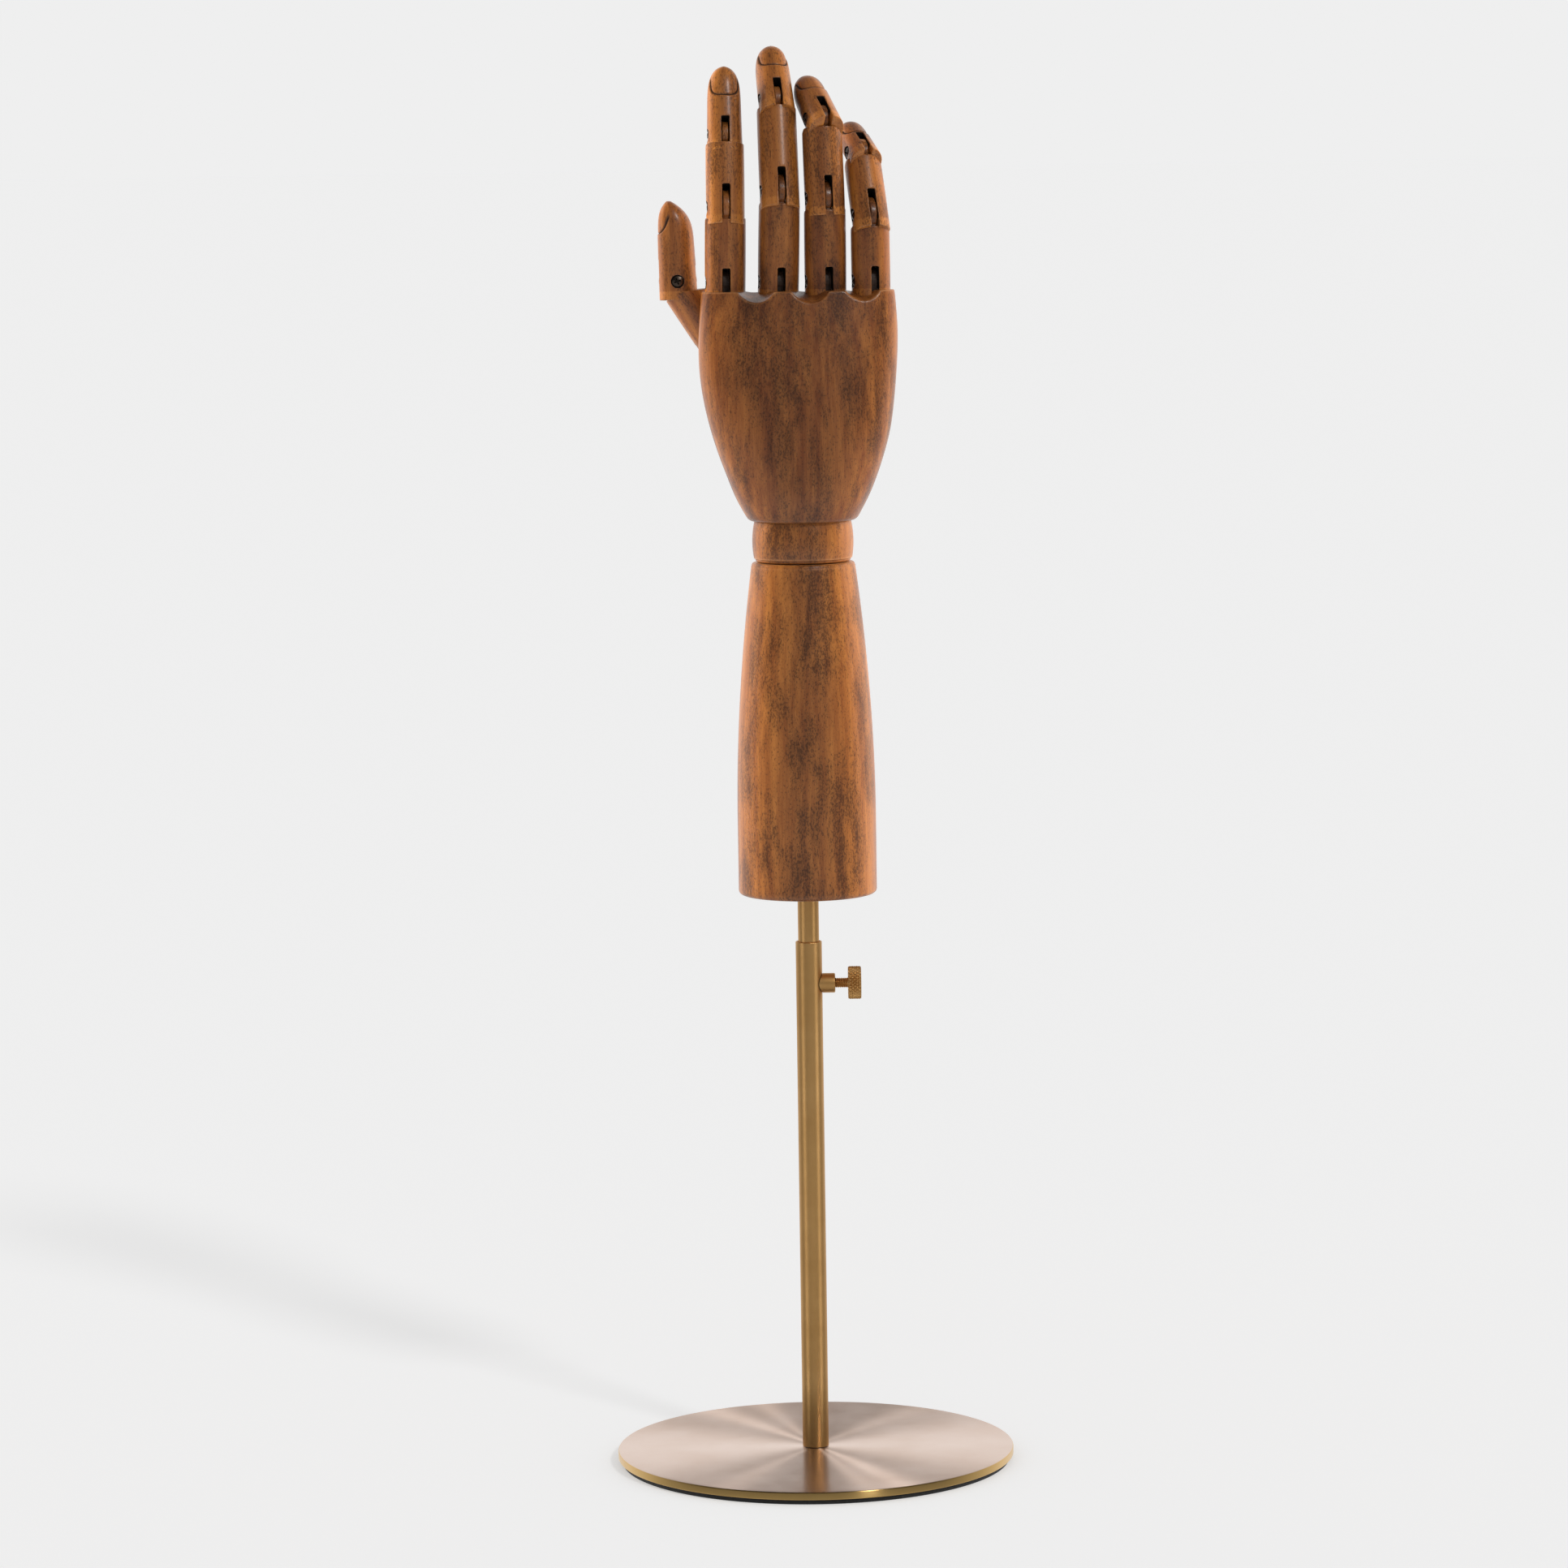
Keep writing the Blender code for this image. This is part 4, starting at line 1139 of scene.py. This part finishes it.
@dataclass
class Stand:
    """Disc, pad, tube, boss, rod and thumb screw."""

    disc_radius: float = 76.0
    disc: tuple[float, float] = (2.0, 5.0)
    pad_radius: float = 74.5
    tube: float = 5.0
    tube_bore: float = 4.3
    tube_top: float = 201.2
    rod: float = 4.0
    rod_ends: tuple[float, float] = (38.0, 243.0)
    clamp: float = 185.0
    boss: float = 3.75
    boss_end: float = 9.9
    shank: float = 1.95
    screw_hole: float = 2.3
    thread: float = 0.7
    thread_depth: float = 0.30
    knob: float = 6.3
    knob_span: tuple[float, float] = (14.8, 19.8)
    knurls: int = 26
    knurl_pitch: float = 1.7
    knurl_depth: float = 0.50

    def build(self, finishes: Finishes) -> None:
        """Build every piece of the stand."""
        self._base(finishes)
        self._tube(finishes)
        self._thumb_screw(finishes)
        low, high = self.rod_ends
        ease = 0.6
        profile = np.vstack([[(0.01, low)],
                             arc((self.rod - ease, low + ease), ease, -90.0, 0.0, 7),
                             arc((self.rod - ease, high - ease), ease, 0.0, 90.0, 7),
                             [(0.01, high)]])
        item = turned_piece("stand_rod_brass", lathe(profile, 96), 40.0)
        settle(item, None, "rod", ("stand_rod",), finishes.brass_rod)

    def _base(self, finishes: Finishes) -> None:
        """Turn the disc with eased edges, and the pad under it."""
        low, high = self.disc
        ease, round_edge = 0.35, 0.55
        r = np.linspace(self.disc_radius - round_edge, 2.35, 26)[1:]
        profile = np.vstack([
            [(2.35, low)],
            arc((self.disc_radius - ease, low + ease), ease, -90.0, 0.0, 7),
            arc((self.disc_radius - round_edge, high - round_edge), round_edge, 0.0, 90.0, 7),
            np.column_stack([r, np.full(len(r), high)])])
        disc = turned_piece("base_disc_brass", lathe(profile, 256), 40.0)
        settle(disc, None, "stand", ("base_disc",), finishes.brass_disc)
        edge, top = 0.5, low - GAP
        profile = np.vstack([
            [(8.5, 0.0)],
            arc((self.pad_radius - edge, edge), edge, -90.0, 0.0, 7),
            [(self.pad_radius, top - 0.1), (self.pad_radius - 0.2, top), (8.5, top)]])
        pad = turned_piece("base_pad_rubber", lathe(profile, 192), 40.0)
        settle(pad, None, "stand", ("base_pad",), finishes.rubber)

    def _tube(self, finishes: Finishes) -> None:
        """Turn the tube with a rounded mouth, and the boss shaped to sit against it."""
        wall = (self.tube - self.tube_bore) / 2.0
        mouth = arc((self.tube_bore + wall, self.tube_top - wall), wall, 0.0, 180.0, 9)
        low = self.disc[1] + GAP
        profile = np.vstack([[(self.tube, low), (self.tube, 100.0)], mouth,
                             [(self.tube_bore, 100.0), (self.tube_bore, low)]])
        across = shift(z=self.clamp) @ turn("Y", 90.0)
        tube = Carving("stand_tube_brass", lathe(profile, 128))
        tube.cut(bar(self.screw_hole, 0.0, 8.0, 40), across)
        tube.crease(35.0)
        settle(tube.item, None, "stand", ("stand_tube",), finishes.brass_rod)
        ease = 0.45
        outline = np.vstack([
            [(self.screw_hole, 2.0), (self.boss, 2.0)],
            arc((self.boss - ease, self.boss_end - ease), ease, 0.0, 90.0, 6),
            [(self.screw_hole + 0.3, self.boss_end), (self.screw_hole, self.boss_end - 0.3)]])
        boss = Carving("screw_boss_brass", lathe(outline, 96))
        boss.cut(bar(self.tube + GAP, -8.0, 8.0, 96), turn("Y", 90.0))
        boss.crease(35.0)
        settle(boss.item, across, "stand", ("screw_boss",), finishes.brass_knob)

    def _thumb_screw(self, finishes: Finishes) -> None:
        """Threaded shank and diamond-knurled knob as one turned piece.

        Along the shank the radius dips by the thread's depth as a rounded zigzag of the
        height over the pitch minus the angle over a full turn.  Round the knob it dips
        where either of two crossing sets of sine ridges is low, which leaves diamonds.
        """
        low, high = self.knob_span
        z_shank = np.linspace(5.5, low - 0.02, 120)
        r_shank = np.full(len(z_shank), self.shank)
        ease = 0.6
        near = arc((self.knob - ease, low + ease), ease, -90.0, 0.0, 6)
        z_knob = np.linspace(low + ease, high - ease, 40)[1:-1]
        rim = np.column_stack([np.full(len(z_knob), self.knob), z_knob])
        far = arc((self.knob - ease, high - ease), ease, 0.0, 90.0, 6)
        cap = np.array([(3.2, high), (2.9, high - 0.2), (0.01, high - 0.25)])
        profile = np.vstack([[(0.01, 5.5)], np.column_stack([r_shank, z_shank]),
                             [(2.6, low)], near, rim, far, cap])
        points, faces = lathe(profile, 416)
        angle = np.arctan2(points[:, 1], points[:, 0])
        radius, z = np.hypot(points[:, 0], points[:, 1]), points[:, 2]
        phase = np.abs(((z / self.thread - angle / (2.0 * math.pi)) % 1.0) * 2.0 - 1.0)
        on_shank = (np.abs(radius - self.shank) < 0.01) & (z > 5.9) & (z < low - 0.2)
        dip = np.where(on_shank, self.thread_depth * (1.0 - phase), 0.0)
        lean = 2.0 * math.pi * (z - low) / self.knurl_pitch
        cross = np.minimum(np.abs(np.sin((self.knurls * angle + lean) / 2.0)),
                           np.abs(np.sin((self.knurls * angle - lean) / 2.0)))
        on_knob = np.clip((radius - (self.knob - 0.35)) / 0.3, 0.0, 1.0)
        dip = dip + on_knob * self.knurl_depth * (1.0 - cross)
        scale = np.where(radius > 0.1, (radius - dip) / np.maximum(radius, 0.1), 1.0)
        points = points * np.column_stack([scale, scale, np.ones_like(scale)])
        item = turned_piece("thumb_screw_brass", (points, faces), 50.0)
        settle(item, shift(z=self.clamp) @ turn("Y", 90.0), "thumb_screw", ("thumb_screw",),
               finishes.brass_knob)


# --------------------------------------------------------------------------
# Whole object, studio and main
# --------------------------------------------------------------------------

@dataclass
class Hand:
    """Palm, four fingers and thumb."""

    knuckle: HingeSizes = HingeSizes(3.15, 4.9, 5.55)
    middle: HingeSizes = HingeSizes(4.0, 6.6, 7.9)
    end: HingeSizes = HingeSizes(3.5, 5.3, 6.0)
    thumb_base: HingeSizes = HingeSizes(3.9, 5.7, 6.35)
    thumb_end: HingeSizes = HingeSizes(4.0, 7.2, 8.2)

    def _digits(self) -> list[Digit]:
        """Return the digits with their sizes, index finger first and thumb last."""
        parts, hinges = ("proximal", "middle", "tip"), (self.knuckle, self.middle, self.end)
        return [
            Digit("index", parts, ((7.6, 7.6), (7.2, 7.15), (6.75, 6.1)), 26.3, hinges, 13.0,
                  (0.0, 0.22, 0.16)),
            Digit("middle", parts, ((7.7, 7.65), (7.45, 7.3), (6.85, 6.2)), 24.6, hinges, 41.0,
                  (-0.06, 0.20, 0.08)),
            Digit("ring", parts, ((7.8, 7.75), (7.5, 7.35), (6.8, 6.1)), 24.2, hinges, 67.0,
                  (-0.10, 0.06, -0.06)),
            Digit("little", parts, ((7.25, 7.2), (6.95, 6.8), (6.15, 5.6)), 18.6, hinges, 95.0,
                  (-0.08, 0.08, -0.05)),
            Digit("thumb", ("proximal", "tip"), ((8.0, 7.9), (7.4, 6.5)), 30.2,
                  (self.thumb_base, self.thumb_end), 121.0, (-0.04, -0.05), thumb=True)]

    def build(self, joints: dict, finishes: Finishes) -> None:
        """Build the digits and the palm around the model's hinges."""
        knuckles = []
        for digit in self._digits():
            digit.build(joints, finishes)
            joint = joints[f"{digit.name}_proximal"]
            place = np.array(joint["pos_m"]) / MM
            if digit.thumb:
                thumb = place
                continue
            step = np.array(joints[f"{digit.name}_middle"]["pos_m"]) / MM - place
            up = step / np.linalg.norm(step)
            knuckles.append(standing(-np.array(joint["axis"]), up, place))
        Palm().build(knuckles, thumb, finishes)


def dress_small_parts(nodes: dict, finishes: Finishes) -> None:
    """Give the solids that stay as they are their materials.

    Args:
        nodes: node name to its object.
        finishes: the materials.
    """
    plain = {
        finishes.steel: ("clamp_tip", "wrist_eye_bolt", "wrist_washer", "wrist_nut",
                         "wrist_spring", "palm_eye"),
        finishes.brass_rod: ("tube_plug", "forearm_insert"),
        finishes.black: ("base_screw",),
        finishes.tongue: ("index_knuckle", "middle_knuckle", "ring_knuckle", "little_knuckle",
                          "thumb_knuckle"),
    }
    for material, names in plain.items():
        for name in names:
            item = nodes[name]
            item.data.materials.clear()
            item.data.materials.append(material)


@dataclass
class Studio:
    """Pale floor, soft light and the camera."""

    backdrop: float = 0.863
    roof_gloss: float = 0.12
    floor_gloss: float = 0.55
    front_gloss: float = 0.06
    floor_glow: float = 0.43
    ambient: float = 0.50
    camera_place: tuple = (-0.0085, -2.195, 0.521)
    pitch: float = 6.74
    roll: float = 0.85
    lens: float = 133.6
    sensor: float = 36.0
    floor_size: float = 40.0
    floor_grey: float = 0.75
    sun_energy: float = 0.60
    sun_spread: float = 8.0
    sun_side: float = 34.8
    sun_lean: float = 51.0
    lamp_height: float = 0.30
    lamp_distance: float = 1.7

    def build(self, brass: list[bpy.types.Object]) -> None:
        """Build the whole studio around the finished object."""
        scene = bpy.context.scene
        scene.view_settings.view_transform = "Standard"
        self._world(scene)
        self._lights(self._floor(), brass)
        data = bpy.data.cameras.new("camera")
        data.lens, data.sensor_width, data.clip_end = self.lens, self.sensor, 50.0
        camera = bpy.data.objects.new("camera", data)
        scene.collection.objects.link(camera)
        frame = shift(*self.camera_place) @ turn("X", 90.0 - self.pitch) @ turn("Z", -self.roll)
        camera.matrix_world = Matrix(frame.tolist())
        scene.camera = camera

    def _world(self, scene: bpy.types.Scene) -> None:
        """Pale surroundings: as seen, dimmer on matt surfaces, and dark in front for gloss.

        For gloss the strength rises with the direction's depth, from the dark studio
        behind the camera to the bright backdrop behind the object, and towards the
        bright floor in front.
        """
        world = bpy.data.worlds.new("studio")
        world.use_nodes = True
        scene.world = world
        g = Graph(world.node_tree)
        back = world.node_tree.nodes["Background"]
        path = g.add("LightPath")
        way = g.add("SeparateXYZ", {0: g.add("TexCoord").outputs["Generated"]})
        roof = g.ramp(way.outputs["Z"], 0.40, 0.90, 1.0, self.roof_gloss)
        low = g.ramp(way.outputs["Z"], -0.26, -0.12, self.floor_gloss, 0.0)
        front = g.ramp(way.outputs["Y"], -0.20, 0.75, self.front_gloss, 1.0)
        shine = g.math("MULTIPLY", g.math("MAXIMUM", low, front), roof)
        gloss = g.math("MULTIPLY", path.outputs["Is Glossy Ray"], g.math("SUBTRACT", 1.0, shine))
        matt = g.math("MULTIPLY", path.outputs["Is Diffuse Ray"], 1.0 - self.ambient)
        g.feed(back, {"Strength": g.math("SUBTRACT", g.math("SUBTRACT", 1.0, gloss), matt),
                      "Color": (self.backdrop,) * 3 + (1.0,)})

    def _floor(self) -> bpy.types.Object:
        """Wide pale floor under the pad."""
        corners = np.array([(-1.0, -1.0, 0.0), (1.0, -1.0, 0.0), (1.0, 1.0, 0.0),
                            (-1.0, 1.0, 0.0)]) * self.floor_size
        floor = raw_object("floor", (corners, [[0, 1, 2, 3]]))
        made, g, shader = blank_material("floor")
        g.feed(shader, {"Base Color": (self.floor_grey,) * 3 + (1.0,), "Roughness": 1.0,
                        "Specular IOR Level": 0.0, "Emission Color": (1.0, 1.0, 1.0, 1.0),
                        "Emission Strength": self.floor_glow})
        floor.data.materials.append(made)
        floor.visible_glossy = False
        return floor

    def _lights(self, floor: bpy.types.Object, brass: list[bpy.types.Object]) -> None:
        """Soft sun from the front right, and lamps that each light only some pieces.

        The two panels light everything but the floor, the two spots behind light the
        base disc and draw its crossing streaks, and the fill and strips light the rest
        of the brass.  A lamp's row is its name, azimuth from the front, rise, width,
        height, power, what it lights and whether gloss shows it.

        Args:
            floor: floor, which the panels leave alone.
            brass: brass pieces.
        """
        scene = bpy.context.scene
        data = bpy.data.lights.new("key", "SUN")
        data.energy, data.angle = self.sun_energy, math.radians(self.sun_spread)
        key = bpy.data.objects.new("key", data)
        key.matrix_world = Matrix((turn("Z", self.sun_side) @ turn("X", self.sun_lean)).tolist())
        scene.collection.objects.link(key)
        object_only = bpy.data.collections.new("object_only")
        object_only.objects.link(floor)
        object_only.collection_objects[0].light_linking.link_state = "EXCLUDE"
        metal_only = bpy.data.collections.new("metal_only")
        disc_only = bpy.data.collections.new("disc_only")
        for item in brass:
            (disc_only if item.name.startswith("base_disc") else metal_only).objects.link(item)
        panels = (("left_panel", -110.0, 12.0, 1.0, 2.0, 88.0, object_only, False),
                  ("right_panel", 108.0, 12.0, 1.0, 2.0, 80.0, object_only, False),
                  ("left_spot", -166.0, 39.0, 0.10, 0.10, 0.30, disc_only, True),
                  ("right_spot", 166.0, 39.0, 0.10, 0.10, 0.70, disc_only, True),
                  ("front_fill", 0.0, 6.0, 2.6, 2.4, 5.0, metal_only, True),
                  ("left_strip", -62.0, 4.0, 0.5, 2.0, 4.5, metal_only, True),
                  ("right_strip", 62.0, 4.0, 0.5, 2.0, 5.0, metal_only, True))
        for name, azimuth, rise, wide, tall, power, lit, shiny in panels:
            data = bpy.data.lights.new(name, "AREA")
            data.shape, data.size, data.size_y, data.energy = "RECTANGLE", wide, tall, power
            panel = bpy.data.objects.new(name, data)
            frame = (shift(z=self.lamp_height) @ turn("Z", azimuth) @ turn("X", 90.0 - rise)
                     @ shift(z=self.lamp_distance))
            panel.matrix_world = Matrix(frame.tolist())
            panel.visible_camera, panel.visible_glossy = False, shiny
            panel.light_linking.receiver_collection = lit
            scene.collection.objects.link(panel)


def main() -> None:
    """Load the model, dress it and light it."""
    logging.basicConfig(level=logging.INFO, format="%(name)s: %(message)s")
    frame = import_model()
    joints = {j["child"]: j for j in frame["record"]["behaviour"]["joints"]}
    finishes = Finishes()
    Stand().build(finishes)
    Forearm().build(finishes)
    Hand().build(joints, finishes)
    dress_small_parts(frame["nodes"], finishes)
    Studio().build([item for item in bpy.data.objects if item.name.endswith("_brass")])
    bpy.context.view_layer.update()


if __name__ == "__main__":
    main()
